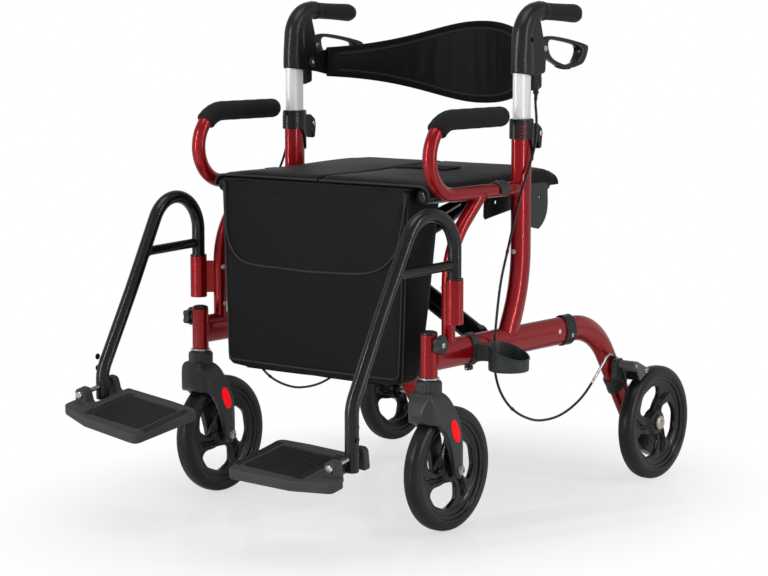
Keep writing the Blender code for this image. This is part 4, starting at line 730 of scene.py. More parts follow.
def wheelShape(centre, hubBolt, spin):
    look = wheelLook
    bm = bmesh.new()
    wheelWeb(bm)
    bmesh.ops.rotate(bm, matrix=Matrix.Rotation(radians(spin), 3, "X"), verts=bm.verts)
    bmesh.ops.remove_doubles(bm, verts=bm.verts, dist=.00002)
    rim = [(.0702, .004), (.0706, .0066), (.0716, .0072), (.0752, .0074), (.0762, .0078), (.0768, .01),
        (.0778, .0108), (.0812, .011), (.0822, .0116), (.0828, .0134), (.0838, .0142), (look["rim"], .0143)]
    tread = [(.084, .0138), (.0852, .0145), (.0866, .0147), (.0885, .01475), (.0915, .0143), (.0935, .0139),
        (.0946, .0136), (.0955, .0129), (.0966, .0128), (.0984, .0119), (.0998, .0103), (.1007, .0082),
        (.1012, .0066), (.1009, .0058), (.10155, .0048), (look["radius"], .002)]
    hub = [(.006, 0.0), (.006, look["hubHalf"]), (.0128, look["hubHalf"]), (.0138, .0128), (.0144, .0108),
        (.0176, .01), (.019, .009), (.02, .006)]
    if not hubBolt:
        hub = [(r, x if x < look["hubHalf"] else .0168) for r, x in hub]
    hub = [(r, -x) for r, x in hub[::-1]] + hub[1:]
    for finishIndex, count, profile in ((0, look["tyreSides"], mirrored(rim)), (1, look["tyreSides"],
            mirrored(tread)), (0, 48, hub)):
        turn(bm, profile, (0, 0, 0), (1, 0, 0), count, True, finishIndex)
    bmesh.ops.translate(bm, vec=centre, verts=bm.verts)
    return bm


def wheels(word, side):
    for name, node, centre, hubBolt, spin in (("RearWheelDressed", "rear_wheel",
            (chair["rearWheelX"], chair["axleY"], chair["wheelZ"]), True, 4),
            ("CasterWheelDressed", "caster_wheel", (chair["sideX"], chair["casterY"], chair["wheelZ"]),
            False, 20)):
        dressSide(word, name, node, wheelShape(centre, hubBolt, spin), [rimBlack, tyreBlack], 34)


bothSides(wheels)
print("wheels built")


# rear axles: a pale bolt in the outer hub, a washer and a nut on the leg's inner side
def rearAxle(word, side):
    bm = bmesh.new()
    hubX, legX = chair["rearWheelX"], chair["sideX"]
    y, z = chair["axleY"], chair["wheelZ"]
    lathe(bm, (hubX, y, z), (1, 0, 0), (20, 0, [(.0056, legX - .019 - hubX), (.0056, .014)]),
        (36, 0, [(.0124, .0138), (.0124, .0148), (.0118, .0152)]), (36, 1, [(.0112, .0148), (.0112, .016),
        (.0104, .017), (.0086, .0175), (.006, .0176), (.0054, .017), (.005, .015)]))
    turn(bm, [(.0082, legX + .0122), (.0085, legX + .0126), (.0085, hubX - .0142), (.0082, hubX - .0138)],
        (0, y, z), (1, 0, 0), 32)
    screw(bm, (legX - .0172, y, z), (-1, 0, 0), .0078, .0044, 0, 6, False)
    turn(bm, [(.0092, legX - .0125), (.0092, legX - .0138)], (0, y, z), (1, 0, 0), 32)
    dressSide(word, "RearAxleBolt", "rear_axle", bm, [chrome, paleBolt])


bothSides(rearAxle)


# side frames: red tubes joined by weld beads
frameLook = {"bead": .0014, "postRadius": .0112, "socketX": .276, "socketY": -.167, "plug": .0042}


def beamShape():
    path = inPlane([(y, chair["beamZ"]) for y in (-.189, -.12, -.05, .03, .11, .16, .2)])
    return drawn(sweep, path, chair["beamWide"], chair["beamTall"], 56, 2.0, .0016)


def postPath():
    arc = arcPoints((-.014, .402), .13, 180, 133, 18)
    rise = [arc[-1] + Vector((sin(radians(133)), -cos(radians(133)))) * step for step in (.018, .036, .056)]
    return inPlane([(-.144, .289), (-.144, .33), (-.144, .37)] + arc + rise)


def uprightPath():
    arc = arcPoints((-.213, .44), .27, -24, 0, 20)
    slope = radians(24)
    foot = [(arc[0].x - sin(slope) * step, arc[0].y - cos(slope) * step) for step in (.037, .018)]
    return inPlane(foot + list(arc) + [(.057, .52), (.057, .6), (.057, .648)])


def hoopPath(endY=0.0):
    arc = arcPoints((-.135, .603), chair["hoopBend"], 270, 90, 44)
    low = [(.0455 - .018 * step, .543) for step in range(10)]
    return inPlane(low + list(arc) + [(-.09, .663), (-.045, .663), (endY, .663)])


def headShape():
    high = [(.014, .2574), (.014, .3252), (.0134, .3255)]
    return drawn(turn, [(.0084, .2572), (.0136, .2571)] + high + [(.009, .3257), (.0084, .325)],
        (chair["sideX"], chair["headY"], 0), (0, 0, 1), 48, True)


def socketShape():
    look = frameLook
    spot = (look["socketX"], look["socketY"], 0)
    wall = [(.0002, .3412), (.0136, .341), (.0143, .3416), (.0143, .4114), (.014, .4119), (.0117, .4119),
        (.0114, .4114), (.0114, .3452), (.0002, .345)]
    return drawn(turn, wall, spot, (0, 0, 1), 48)


def sideFrame(word, side):
    look, x, bm = frameLook, chair["sideX"], bmesh.new()
    beam, head, socket = beamShape(), headShape(), socketShape()
    wide, deep, post, pipe = chair["uprightWide"], chair["uprightDeep"], look["postRadius"], chair["tube"]
    postTube = drawn(sweep, postPath(), post, None, 36)
    upright = drawn(sweep, uprightPath(), wide, deep, 44, 2.0, .0006)
    hoop = drawn(sweep, hoopPath(), pipe, None, 36, 2.0, .0008)
    for host, spot, way, acrossSize, deepSize in ((beam, (x, -.144, .33), (0, 0, -1), post, post),
            (hoop, postPath()[-4], (0, .731, .682), post, post), (upright, (x, .02, .543), (0, 1, 0), pipe,
            pipe), (beam, uprightPath()[1] + Vector((0, .008, .018)), (0, -.4, -.914), wide, deep),
            (head, (x, -.15, chair["beamZ"]), (0, -1, 0), chair["beamWide"] - .0004,
            chair["beamTall"] * .96)):
        way = Vector(way).normalized()
        bead(bm, host, ringAt(Vector(spot), way, acrossSize, deepSize, 40), way, look["bead"])
    for shape in (beam, head, socket, postTube, upright, hoop):
        merged(bm, shape)
    plate(bm, [(.2475, -.1476), (.2475, -.1404), (.276, -.1634), (.276, -.1706)], .349, .404, "Z", .0006)
    armY = -.008 - side * .0096
    ear = roundCorners([(.2045, .291), (.238, .287), (.238, .308), (.2045, .309)], [.0085, 0, 0, .0085], 8)
    for low, high in ((-.0131, -.0096), (.0096, .0131)):
        plate(bm, ear, armY + low, armY + high, "Y", .0005)
    turn(bm, [(.005, -.014), (.005, .014)], (.213, armY, .3), (0, 1, 0), 24, finishIndex=1)
    for way in (-1, 1):
        screw(bm, (.213, armY + way * .0131, .3), (0, way, 0), .0072, .0036, 1, 6, False)
    stud = look["plug"]
    for across, y, z, way in ((0, .0358, .4375, (0, -1, 0)), (.0148, .155, .291, (1, 0, 0)),
            (.0108, -.1465, .399, (1, 0, 0)), (-.0108, -.1465, .394, (-1, 0, 0)), (-.0148, -.115, .291,
            (-1, 0, 0)), (-.0108, -.144, .33, (-1, 0, 0))):
        turn(bm, [(stud, -.002), (stud, .0002), (stud * .8, .0009), (stud * .35, .0012)], (x + across, y,
            z), way, 24, finishIndex=2)
    turn(bm, [(.01, -.004), (.0106, 0.0), (.01, .0022), (.005, .003)], (x, .0005, .663), (0, 1, 0), 28,
        finishIndex=3)
    dressSide(word, "SideFrameTubes", "side_frame", bm, [red, chrome, plug, black])


bothSides(sideFrame)
print("side frames built")


def legPath():
    bend = arcPoints((.215, .164), .125, 90, 90 - chair["legSlope"], 24)
    slope = radians(chair["legSlope"])
    end = Vector((chair["axleY"], chair["wheelZ"])) + Vector((cos(slope), -sin(slope))) * .018
    straight = [bend[-1].lerp(end, step / 6) for step in range(1, 7)]
    return inPlane([(.15, .289), (.18, .289)] + list(bend) + straight)


def rearLeg(word, side):
    bm = drawn(sweep, legPath(), chair["legWide"], chair["legDeep"], 56, 2.0, .0008)
    for way in (-1, 1):
        spot = (chair["sideX"] + way * (chair["legWide"] - .0006), chair["axleY"], chair["wheelZ"])
        turn(bm, [(.008, 0.0), (.008, .0004), (.0062, .0004)], spot, (way, 0, 0), 24, finishIndex=1)
    dressSide(word, "RearLegTube", "rear_leg_tube", bm, [red, chrome])


def beamCollar(word, side):
    steps = [(.176, .92), (.1763, .97), (.1772, 1.0), (.19, 1.0), (.2028, 1.0), (.2034, .99), (.2052, .95),
        (.2058, .935), (.206, .91)]
    bm = drawn(sweep, inPlane([(y, chair["beamZ"]) for y, s in steps]), [.0175 * s for y, s in steps],
        [.0265 * s for y, s in steps], 56)
    for y in (.1805, .2008):
        ring = ringAt(Vector((chair["sideX"], y, chair["beamZ"])), Vector((0, 1, 0)), .0173, .0263, 56)
        tube(bm, ring, .0006, 6, 0, True)
    screw(bm, (chair["sideX"] + .0172, .191, .281), (1, 0, 0), .0038, .0018, 1)
    dressSide(word, "BeamCollarMoulding", "beam_collar", bm, [black, chrome])


def armFoam(word, side):
    arc = arcPoints((-.135, .603), chair["hoopBend"], 135, 90, 16)
    spots = list(arc) + [Vector((-.135 + .0094 * step, .663)) for step in range(1, 15)]
    radius = [.0166 + .00018 * sin(step * 1.7) for step in range(len(spots))]
    bm = drawn(sweep, inPlane(spots), radius, None, 44, 2.0, .0028)
    turn(bm, [(.0166, -.006), (.0165, 0.0), (.0158, .0042), (.0138, .0078), (.0098, .0104), (.0055, .0119),
        (.0015, .0123)], (chair["sideX"], -.0042, .663), (0, 1, 0), 44)
    dressSide(word, "ArmrestFoamSleeve", "armrest_foam", bm, [foamBlack], 60)


def seatSaddle(word, side):
    outline = arcPoints((chair["sideX"], chair["hoopZ"]), .015, 205, -25, 40)
    outline += arcPoints((chair["sideX"], chair["hoopZ"]), .0119, -25, 205, 40)
    bm = drawn(plate, outline, -.018, .006, "Y", .0008)
    screw(bm, (chair["sideX"] - .006, -.006, chair["hoopZ"] + .0128), (-.42, 0, .9), .0036, .0016, 1)
    dressSide(word, "SeatSaddleClip", "seat_saddle", bm, [strapGrey, chrome])


def rearPlate(word, side):
    outline = [Vector(point) for point in ((.0773, .476), (.0773, .547), (.133, .547), (.1345, .512))]
    outline += arcPoints((.0885, .512), .046, -12, -66, 16)
    outline = roundCorners(outline, [.001, .003, .006, .003] + [0] * 17, 5)
    x = chair["sideX"]
    bm = carved(drawn(plate, outline, x - .0016, x + .0016, "X", .0005),
        [less(turn, [(.003, -.01), (.003, .01)], (x, .111, .523), (1, 0, 0), 24)])
    dressSide(word, "RearQuarterPlate", "rear_plate", bm, [strapGrey])


bothSides(rearLeg, beamCollar, armFoam, seatSaddle, rearPlate)
print("legs and sleeves built")


# folding arms: flat bars that carry the seat rails and turn on feet in the side frames
armLook = {"deep": .009, "tall": .018, "endTall": .01, "eye": .018, "corner": 3.4}


def foldingArm(word, side, foot, tip):
    look = armLook
    y = -.008 - side * .0096
    foot, tip = Vector(foot), Vector(tip)
    way = (tip - foot).normalized()
    up, along = Vector((-way.y, 0, way.x)), Vector((way.x, 0, way.y))
    rings = []
    for part in (0.0, .02, .05, .1, .2, .35, .5, .65, .78, .83, .88, .92, .95, .965):
        flat = foot.lerp(tip, part)
        spot = Vector((flat.x, y, flat.y))
        tall = look["tall"] + (look["endTall"] - look["tall"]) * smoothstep(.78, .94, part)
        rings.append([spot + Vector((0, 1, 0)) * (look["deep"] * c) + up * (tall * s) for c,
            s in turnPairs(44, 2 / look["corner"])])
    slots = []
    for low, high in ((.07, .455), (.545, .9)):
        a, b = [Vector((foot.x, 0, foot.y)) + along * ((tip - foot).length * end) for end in (low, high)]
        flat = [a + up * .0016, b + up * .0016, b - up * .0016, a - up * .0016]
        slots.append(("DIFFERENCE", drawn(plate, roundCorners([(p.x, p.z) for p in flat], .0012, 4),
            y - .02, y + .02, "Y", 0)))
    bm = carved(drawn(skin, rings), slots)
    eye = [(.0054, -.0092), (look["eye"] - .0012, -.0092), (look["eye"], -.008), (look["eye"], .008),
        (look["eye"] - .0012, .0092), (.0054, .0092)]
    turn(bm, eye, (foot.x, y, foot.y), (0, 1, 0), 48, True)
    rail = [(.006, .0003), (.0095, .0017), (.0116, .004), (.0125, .007)]
    ends = [(r, -.174 + h) for r, h in rail] + [(r, .18 - h) for r, h in rail[::-1]]
    lathe(bm, (tip.x, 0, tip.y), (0, 1, 0), (40, 0, ends), (40, 0, [(.0129, -.1668), (.0131, -.1664),
        (.0131, -.165), (.0128, -.1646)]))
    dress("foldingArm" + word, bm, "cross_brace_" + word.lower(), [tubeBlack], 1)


def crossPivot():
    bolt = bmesh.new()
    middle = Vector((0.0, -.008, .42))
    for side in (-1, 1):
        turn(bolt, [(.012, .0187), (.0124, .019), (.0124, .0198), (.012, .0201)], middle, (0, side, 0), 32)
        screw(bolt, middle + Vector((0, side * .02, 0)), (0, side, 0), .01, .0034, 0, 6 if side > 0 else 30,
            False)
    turn(bolt, [(.0058, -.0196), (.0058, .0196)], middle, (0, 1, 0), 24)
    dress("crossPivotBolt", bolt, "brace_pivot", [chrome])


# arm a has its foot on the left, arm b is its mirror
foldingArm("A", 1, (.213, .3), (-.213, .54))
crossPivot()
foldingArm("B", -1, (-.213, .3), (.213, .54))
print("folding arms built")


# height collars, clamp levers and handle posts
def heightCollar(word, side):
    x, y = chair["sideX"], chair["uprightY"]
    levels = [(.57, 1.0), (.6, 1.0), (.63, 1.0), (.648, 1.0), (.655, .985), (.6565, .96), (.657, .93)]
    shell = drawn(sweep, [(x, y, z) for z, size in levels], [.0172 * size for z, size in levels],
        [.0255 * size for z, size in levels], 64)
    foot = smoothLine([(y - .06, .6245), (y - .012, .624), (.057, .6229), (.062, .619), (.067, .6121),
        (.0705, .6015), (.074, .5925), (.08, .5868), (.097, .584), (.14, .5835)], .004)
    ears = roundCorners([(.066, .65), (.0895, .6485), (.102, .6395), (.102, .6265), (.0895, .6185),
        (.066, .612)], [0, .006, .008, .008, .006, 0], 8)
    bm = carved(shell, [plus(plate, ears, x - .0111, x - .0083, "X", .0009), plus(plate, ears, x + .0083,
        x + .0111, "X", .0009), less(plate, foot + [Vector((.14, .52)), Vector((y - .06, .52))], x - .03,
        x + .03, "X", 0), less(sweep, [(x, y, .5), (x, y, .75)], chair["uprightWide"] + .0003,
        chair["uprightDeep"] + .0003, 48)])
    tube(bm, ringAt(Vector((x, y, .653)), Vector((0, 0, 1)), .0172, .0255, 64), .0005, 6, 0, True)
    for step in range(4):
        bar = []
        for part in range(9):
            angle = radians(-58 + 44 * part / 8)
            bar.append((x + .0173 * cos(angle), y + .0256 * sin(angle),
                .644 - step * .0058 + .005 * part / 8))
        tube(bm, bar, .0008, 8, 1)
    dressSide(word, "HeightCollarMoulding", "height_collar", bm, [black, stripeRed])


def clampLever(word, side):
    x = chair["sideX"]
    shares = [(-.1622, .1622), (.1622, .2703), (.2703, -.1081), (.2027, -.6486), (.0405, -.7297),
        (-.0541, -.3243), (-.1622, -.1351)]
    outline = roundCorners([(.0975 + a * .037, .632 + b * .037) for a, b in shares], .0041, 8)
    bm = drawn(plate, outline, x - .008, x + .008, "X", .0016, 4)
    for step in range(4):
        rib(bm, x, .1058 - step * .0003, .6085 + step * .0028, .0062, .0007, .0006)
    turn(bm, [(.0024, -.011), (.0024, .011)], (x, .0975, .632), (1, 0, 0), 20, finishIndex=1)
    for way in (-1, 1):
        screw(bm, (x + way * .011, .0975, .632), (way, 0, 0), .0045, .0018, 1)
    dressSide(word, "ClampLeverMoulding", "clamp_lever", bm, [black, chrome])


def handlePost(word, side):
    x, y = chair["sideX"], chair["uprightY"]
    bm = drawn(sweep, [(x, y, .545 + .225 * step / 12) for step in range(13)], .0122, .0196, 52, 2.0, .001)
    for step in range(4):
        turn(bm, [(.0026, 0), (.0026, .0003), (.0018, .0003)], (x + .0119, y, .5725 + step * .0125),
            (1, 0, 0), 16, finishIndex=1)
    tube(bm, ringAt(Vector((x, y, .5485)), Vector((0, 0, 1)), .0123, .0197, 52), .0004, 5, 1, True)
    dressSide(word, "HandlePostTube", "handle_post", bm, [silver, black])


bothSides(heightCollar, clampLever, handlePost)
print("height setting built")


# handle heads: one conical neck that bends into the grip, with the brake housing under it
handleLook = {"housing": (.047, .105), "pinY": .104, "pinZ": .772, "unit": .14}


def neckRings():
    bend = arcPoints((.104, .787), .047, 172, 90, 26)
    flat = [(.057, .7292), (.0571, .7299), (.0573, .7315), (.0574, .745), (.0576, .76)]
    path = inPlane(flat + [(p.x, p.y) for p in bend] + [(.1075, .834)])
    reach = [0.0]
    for first, second in zip(path, path[1:]):
        reach.append(reach[-1] + (second - first).length)
    deep = [1, 1.04, 1.02, .94, .85, .79, .75, .73, .721]
    lip = [.945, .985, 1.0]
    rings = []
    for index, spot in enumerate(path):
        share = reach[index] / reach[-1]
        shrink = lip[index] if index < 3 else 1.0
        rings.append(ringAt(spot, wayAt(path, index), .0165 * (1 - .073 * share) * shrink,
            .0215 * blendList(deep, share) * shrink, 56, 2.3))
    return rings


def handleHead(word, side):
    x = chair["sideX"]
    wide, tall = handleLook["housing"]
    pin = Vector((handleLook["pinY"], handleLook["pinZ"]))

    def placed(shares, radii, steps):
        return roundCorners([(.057 + a * wide, .729 + b * tall) for a, b in shares], radii, steps)

    housing = placed([(.1915, 0), (1.04, .019), (1.07, .219), (.9, .6), (.7, .8857), (.2766, .8857)],
        [0, .007, .009, .0122, .0062, 0], 8)
    block = placed([(.42, -.26), (.87, -.21), (.85, .0571), (.42, .0571)], [.003, .006, .003, .002], 6)
    slot = [pin + Vector(point) * handleLook["unit"] for point in ((-.0857, -.1464), (.2571, -.2643),
        (.2571, .2036), (-.0857, .1464))]
    bm = carved(drawn(skin, neckRings()), [plus(plate, housing, x - .0145, x + .0145, "X", .0022, 4),
        plus(plate, block, x - .008, x + .0125, "X", .0014, 3),
        less(sweep, [(x, .057, .7), (x, .057, .7703)], .0123, .0197, 48)], .001, 6)
    bm = carved(bm, [less(plate, slot, x - .0066, x + .0066, "X", 0)])
    lathe(bm, (x, 0, .834), (0, 1, 0), (36, 0, [(.0105, .1), (.0105, .205)]),
        (44, 0, [(.0158, .1034), (.0164, .104), (.0164, .1054), (.0158, .1058)]))
    for step in range(3):
        z = .723 - step * .0052
        tube(bm, [(x + .0128, .079, z), (x + .0131, .0875, z), (x + .0128, .096, z)], .001, 6)
    lathe(bm, (x, *pin), (1, 0, 0), (28, 1, [(.0046, .0125), (.005, .0133), (.005, .0152), (.0044, .016),
        (.0028, .0162)]), (28, 1, [(.0034, -.012), (.0044, -.0143), (.0044, -.0155), (.0036, -.0162)]))
    turn(bm, [(.0042, 0.0), (.0042, .002), (.0036, .003), (.0022, .0034)], (x + .016, .066, .787),
        (1, 0, 0), 24)
    adjust = [(.0048, -.002), (.005, 0.0), (.005, .004), (.0043, .0046), (.0043, .0066), (.005, .0072),
        (.005, .0105), (.0034, .0116), (.0028, .014)]
    turn(bm, adjust, (.257, .083, .7085), (.1, -.1, -1.0), 24)
    dressSide(word, "HandleHead", "handle_body", bm, [black, chrome], 42)


def gripSleeve(word, side):
    x, y, length = chair["sideX"], .1062, .113
    stations = [(0, .985), (.008, 1.03), (.03, 1.045), (.07, 1.05), (.085, 1.02), (.1, .965), (.13, .95),
        (.35, .93), (.65, .97), (.88, 1.02), (.93, 1.0), (.965, .92), (.985, .82), (.996, .7), (1, .62)]
    rings = []
    for share in sorted(set([station[0] for station in stations] + [.13 + .0125 * step
            for step in range(60)])):
        after = [index for index, station in enumerate(stations) if station[0] >= share - 1e-9][0]
        low, high = stations[max(0, after - 1)], stations[after]
        part = (share - low[0]) / (high[0] - low[0]) if high[0] > low[0] else 0
        size = .0155 * (low[1] + (high[1] - low[1]) * part)
        if .14 < share < .87:
            size -= .0004 * (.5 - .5 * cos(2 * pi * (share - .14) / .0365)) ** 3
        ring = []
        for step in range(60):
            angle = 2 * pi * step / 60
            reach = size - .0008 * max(0.0, cos(3 * angle)) * (share > .15)
            ring.append(Vector((x + reach * cos(angle), y + length * share,
                .834 - .005 * share + reach * sin(angle))))
        rings.append(ring)
    dressSide(word, "GripSleeve", "grip", drawn(skin, rings), [darkGrip], 50)


cableMouth = Vector((.2665, .322, .2265))


cableWay = Vector((0, .894, -.447)).normalized()


def brakeLever(word, side):
    x, unit = chair["sideX"], handleLook["unit"]
    pin = Vector((handleLook["pinY"], handleLook["pinZ"]))
    outer = smoothLine([(-.0286, .0643), (.1429, .1393), (.4357, .1286), (.9143, .05), (1, -.0214),
        (.8786, -.2), (.6286, -.2536), (.4429, -.2357), (.2143, -.15), (-.0357, -.0643)], .01, True)
    inner = smoothLine([(.1857, .0821), (.4214, .0821), (.8071, .0071), (.7786, -.1429), (.6143, -.2),
        (.4643, -.1857), (.25, -.1036)], .01, True)
    middle = Vector((.5, -.055))
    rings = []
    for c, s in turnPairs(200, 1, 0):
        way = Vector((c, s))
        near, far = [middle + way * rayToOutline(middle, way, line) for line in (inner, outer)]
        mid, half = (near + far) / 2, (far - near).length / 2
        wide = .0056 + .0052 * smoothstep(.74, .84, mid.x) * smoothstep(.06, 0.0, mid.y)
        rings.append([Vector((x + wide * up, *(pin + (mid + way * half * out) * unit))) for out,
            up in turnPairs(20, .6)])
    bm = drawn(skin, rings, False, True)
    for step in range(9):
        way = (Vector((.3 + .055 * step, -.4)) - middle).normalized()
        spot = pin + (middle + way * rayToOutline(middle, way, outer)) * unit
        rib(bm, x, *spot, .005, .0009, 0.0, -.0004)
    turn(bm, [(.0028, -.0127), (.0028, .0127)], (x, *pin), (1, 0, 0), 16, finishIndex=1)
    dressSide(word, "BrakeLeverLoop", "brake_lever", bm, [black, chrome], 46)


bothSides(handleHead, gripSleeve, brakeLever)
print("handles built")


# brake cables: one sleeve from the handle round to the rear brake, with ferrules and clips
def cablePath():
    spots = [(.2584, .0816, .6955), (.2605, .0775, .682), (.2655, .0735, .652), (.2678, .0665, .615)]
    flat = [(.05, .575), (.03, .538), (.009, .489), (-.009, .443), (-.027, .394), (-.0385, .335),
        (-.044, .285), (-.041, .246), (-.025, .211), (.005, .181), (.047, .159), (.095, .147), (.157, .149),
        (.22, .171), (.277, .214), (.293, .2285), (.303, .2335)]
    spots += [(.2665, y, z) for y, z in flat]
    return [Vector(spot) for spot in spots] + [cableMouth - cableWay * .011, cableMouth - cableWay * .0003]


def brakeCable(word, side):
    path = smoothLine(cablePath(), .004)
    bm = drawn(tube, path, .0022, 18)
    ferrule = [(.0026, -.0002), (.003, 0.0), (.003, .0075), (.0026, .0085), (.0023, .0095)]
    for index, spread in ((0, 1), (-1, -1)):
        turn(bm, ferrule, path[index], (path[index + spread * 3] - path[index]).normalized(), 20,
            finishIndex=1)
    for share in (.3, .62):
        index = int(len(path) * share)
        turn(bm, [(.0023, -.003), (.0028, -.0026), (.0028, .0026), (.0023, .003)], path[index],
            wayAt(path, index), 18, finishIndex=1)
    tube(bm, path[-24:-3], .0024, 14, 2)
    node = word + "_brake_cable"
    sleeve = addPiece(word + "BrakeCableSleeve", bm, None, [tubeBlack, black, chrome], side,
        50)
    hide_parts(node)
    x = side * .262 + chair["shiftX"]
    word + "_handle"
    word + "_side"
    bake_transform(sleeve)


bothSides(brakeCable)
print("cables built")


# rear brakes: a sleeve and boss on the leg, and the pressed arm with its shoe
def legFrame(along):
    slope = radians(chair["legSlope"])
    way = Vector((0, cos(slope), -sin(slope)))
    return Vector((chair["sideX"], chair["axleY"], chair["wheelZ"])) - way * along, way


brakeLook = {"pivot": (.331, .214), "bandLow": .082}


def brakeBracket(word, side):
    x, (y, z) = chair["sideX"], brakeLook["pivot"]
    steps = [(0.0, .0003), (.0003, .0022), (.0016, .0032), (.009, .0032), (.0105, .0026), (.0195, .0026),
        (.021, .0032), (.0284, .0032), (.0297, .0022), (.03, .0003)]
    bm = drawn(sweep, [legFrame(brakeLook["bandLow"] + along)[0] for along, wall in steps],
        [chair["legWide"] + wall for along, wall in steps], [chair["legDeep"] + wall for along,
        wall in steps], 56, 2.0)
    boss = roundCorners([(y - .012, z + .01), (y + .009, z + .01), (y + .026, z - .02),
        (y + .012, z - .034), (y - .014, z - .026)], [.006, .006, .005, .003, .005], 7)
    plate(bm, boss, x + .0143, x + .0245, "X", .0012, 3)
    wheelX = chair["rearWheelX"]
    lathe(bm, (0, y, z), (1, 0, 0), (24, 1, [(.0034, x + .0143), (.0034, wheelX + .012),
        (.003, wheelX + .0125)]), (24, 1, [(.0052, x + .0244), (.0052, x + .0248)]))
    stop = [(.003, 0.0), (.004, .0006), (.0042, .0016), (.0042, .005), (.0036, .0054), (.0036, .0064),
        (.0042, .0068), (.0042, .012), (.0034, .0135)]
    turn(bm, stop, cableMouth, cableWay, 24, finishIndex=1)
    tube(bm, [cableMouth + cableWay * along for along in (.013, .016, .0185)], .0012, 10, finishIndex=1)
    band = legFrame(brakeLook["bandLow"] + .015)[0]
    screw(bm, band + Vector((chair["legWide"] + .0024, 0, 0)), (1, 0, 0), .004, .0018, 1)
    dressSide(word, "BrakeBracketBand", "brake_bracket", bm, [strapGrey, chrome])


def brakeArm(word, side):
    y, z = brakeLook["pivot"]
    x0, x1 = chair["sideX"] + .0248, chair["rearWheelX"] + .011
    face = arcPoints((chair["axleY"], chair["wheelZ"]), .1016 + .0032, 127, 108, 12)
    crest = [Vector((y + .006, z + .007)), Vector((y + .04, z - .0085))]
    corners = [(y - .007, z - .005), (y - .005, z + .007), *crest, (y + .0475, z - .011)]
    shaped = roundCorners(corners + [face[-1], face[0], Vector((y + .004, z - .007))], [.004, .005, .006,
        .008, .002, .001, .001, .004], 6)
    channel = [(y + .0068, z - .03), (y + .031, z - .03), (y + .031, z - .0015), (y + .0068, z - .0015)]
    bm = carved(drawn(plate, shaped, x0, x1, "X", .0012, 3),
        [less(plate, roundCorners(channel, .001), x0 + .0032, x1 - .0032, "X", 0),
        less(turn, [(.0038, x0 - .01), (.0038, x1 + .02)], (0, y, z), (1, 0, 0), 24)])
    middle = (x0 + x1) / 2
    for step in range(5):
        spot = Vector((y + .006, z + .0068)).lerp(crest[1], .15 + .16 * step)
        rib(bm, middle, *spot, (x1 - x0) / 2 - .004, .0006, 0.0, .0002)
    block = face[0:13:2] + [Vector((y + .0475, z - .0118)), Vector((y + .022, z - .008))]
    plate(bm, block, x0 + .0022, x1 - .0022, "X", .0006, 2, 1)
    screw(bm, (x1 - .0004, y + .0335, z - .0125), (1, 0, 0), .005, .0026, 2, 6)
    screw(bm, (middle, y + .024, z), (0, .41, .91), .0042, .0024, 2, 6)
    dressSide(word, "BrakeArmPressing", "brake_arm", bm, [brakeGrey, tyreBlack, chrome])


def tipPedal(word, side):
    x = chair["sideX"]
    end, way = legFrame(-.018)
    end = end + way * chair["gap"]
    across = Vector((0, -way.z, way.y)) * (chair["legDeep"] - .0005)
    top, low, end = [Vector((spot.y, spot.z)) for spot in (end + across, end - across, end)]
    first, last = end + Vector((.04, -.016)), end + Vector((.072, -.05))
    along = (last - first).normalized()
    out = Vector((-along.y, along.x)) * .0021
    outline = [top, first - along * .004]
    for index in range(6):
        base = first.lerp(last, index / 6)
        outline += [base, base + out + along * .0004, base + out + along * .0034, base + along * .004]
    outline += [last, end + Vector((.062, -.064)), end + Vector((.02, -.046)), low]
    radii = [.002, .002] + [.0006] * 24 + [.003, .005, .008, .002]
    bm = drawn(plate, roundCorners(outline, radii, 4), x - .0115, x + .0115, "X", .0014, 3)
    rim = roundCorners([end + Vector(by) for by in ((.02, -.012), (.038, -.026), (.055, -.048),
        (.03, -.038))], .004, 5)
    for way in (-1, 1):
        tube(bm, [(x + way * .0114, p.x, p.y) for p in rim], .0009, 6, 0, True)
    dressSide(word, "TipPedalMoulding", "tip_pedal", bm, [black])


bothSides(brakeBracket, brakeArm, tipPedal)
print("brakes and pedals built")


# front casters: a moulded fork, its ring nut and stem, and the side knob
forkLook = {"topZ": .2345, "inner": .0178, "lens": (-.162, .168)}


def forkShell():
    x, y, z, inner = chair["sideX"], chair["headY"], forkLook["topZ"], forkLook["inner"]
    line = [(-.019, 0), (.006, 0), (.023, -.011), (.036, -.034), (.05, -.062), (.06, -.094), (.0625, -.126),
        (.0605, -.14), (.048, -.1475), (.0365, -.14), (.032, -.12), (.024, -.096), (.012, -.072),
        (-.008, -.054), (-.026, -.05), (-.035, -.04), (-.032, -.02), (-.024, -.005)]
    outline = smoothLine([(y + a, z + b) for a, b in line], .003, True)
    arch = smoothLine([(-.0262, .07), (-.028, .11), (-.0298, .15), (-.03, z - .056), (-.029, z - .036),
        (-.0255, z - .018), (-.0215, z - .006), (-.0175, z + .001)], .003)
    shell = [Vector((x + a, b)) for a, b in arch] + [Vector((x - a, b)) for a, b in arch[::-1]]
    plan = []
    for step in range(80):
        c, s = cos(2 * pi * step / 80), sin(2 * pi * step / 80)
        square, reach = (.55, .052) if s > 0 else (.92, .053)
        plan.append(Vector((x + .0305 * copysign(abs(c) ** square, c),
            y + .015 + reach * copysign(abs(s) ** square, s))))
    well = [(.1026, -inner), (.1086, .004 - inner), (.1086, inner - .004), (.1026, inner)]
    return carved(drawn(plate, outline, x - .029, x + .029, "X", 0),
        [("INTERSECT", drawn(plate, shell, y - .1, y + .2, "Y", 0)),
        ("INTERSECT", drawn(plate, plan, .05, .26, "Z", 0)), less(turn, well, (x, chair["casterY"],
        chair["wheelZ"]), (1, 0, 0), 90)], .001, 26)


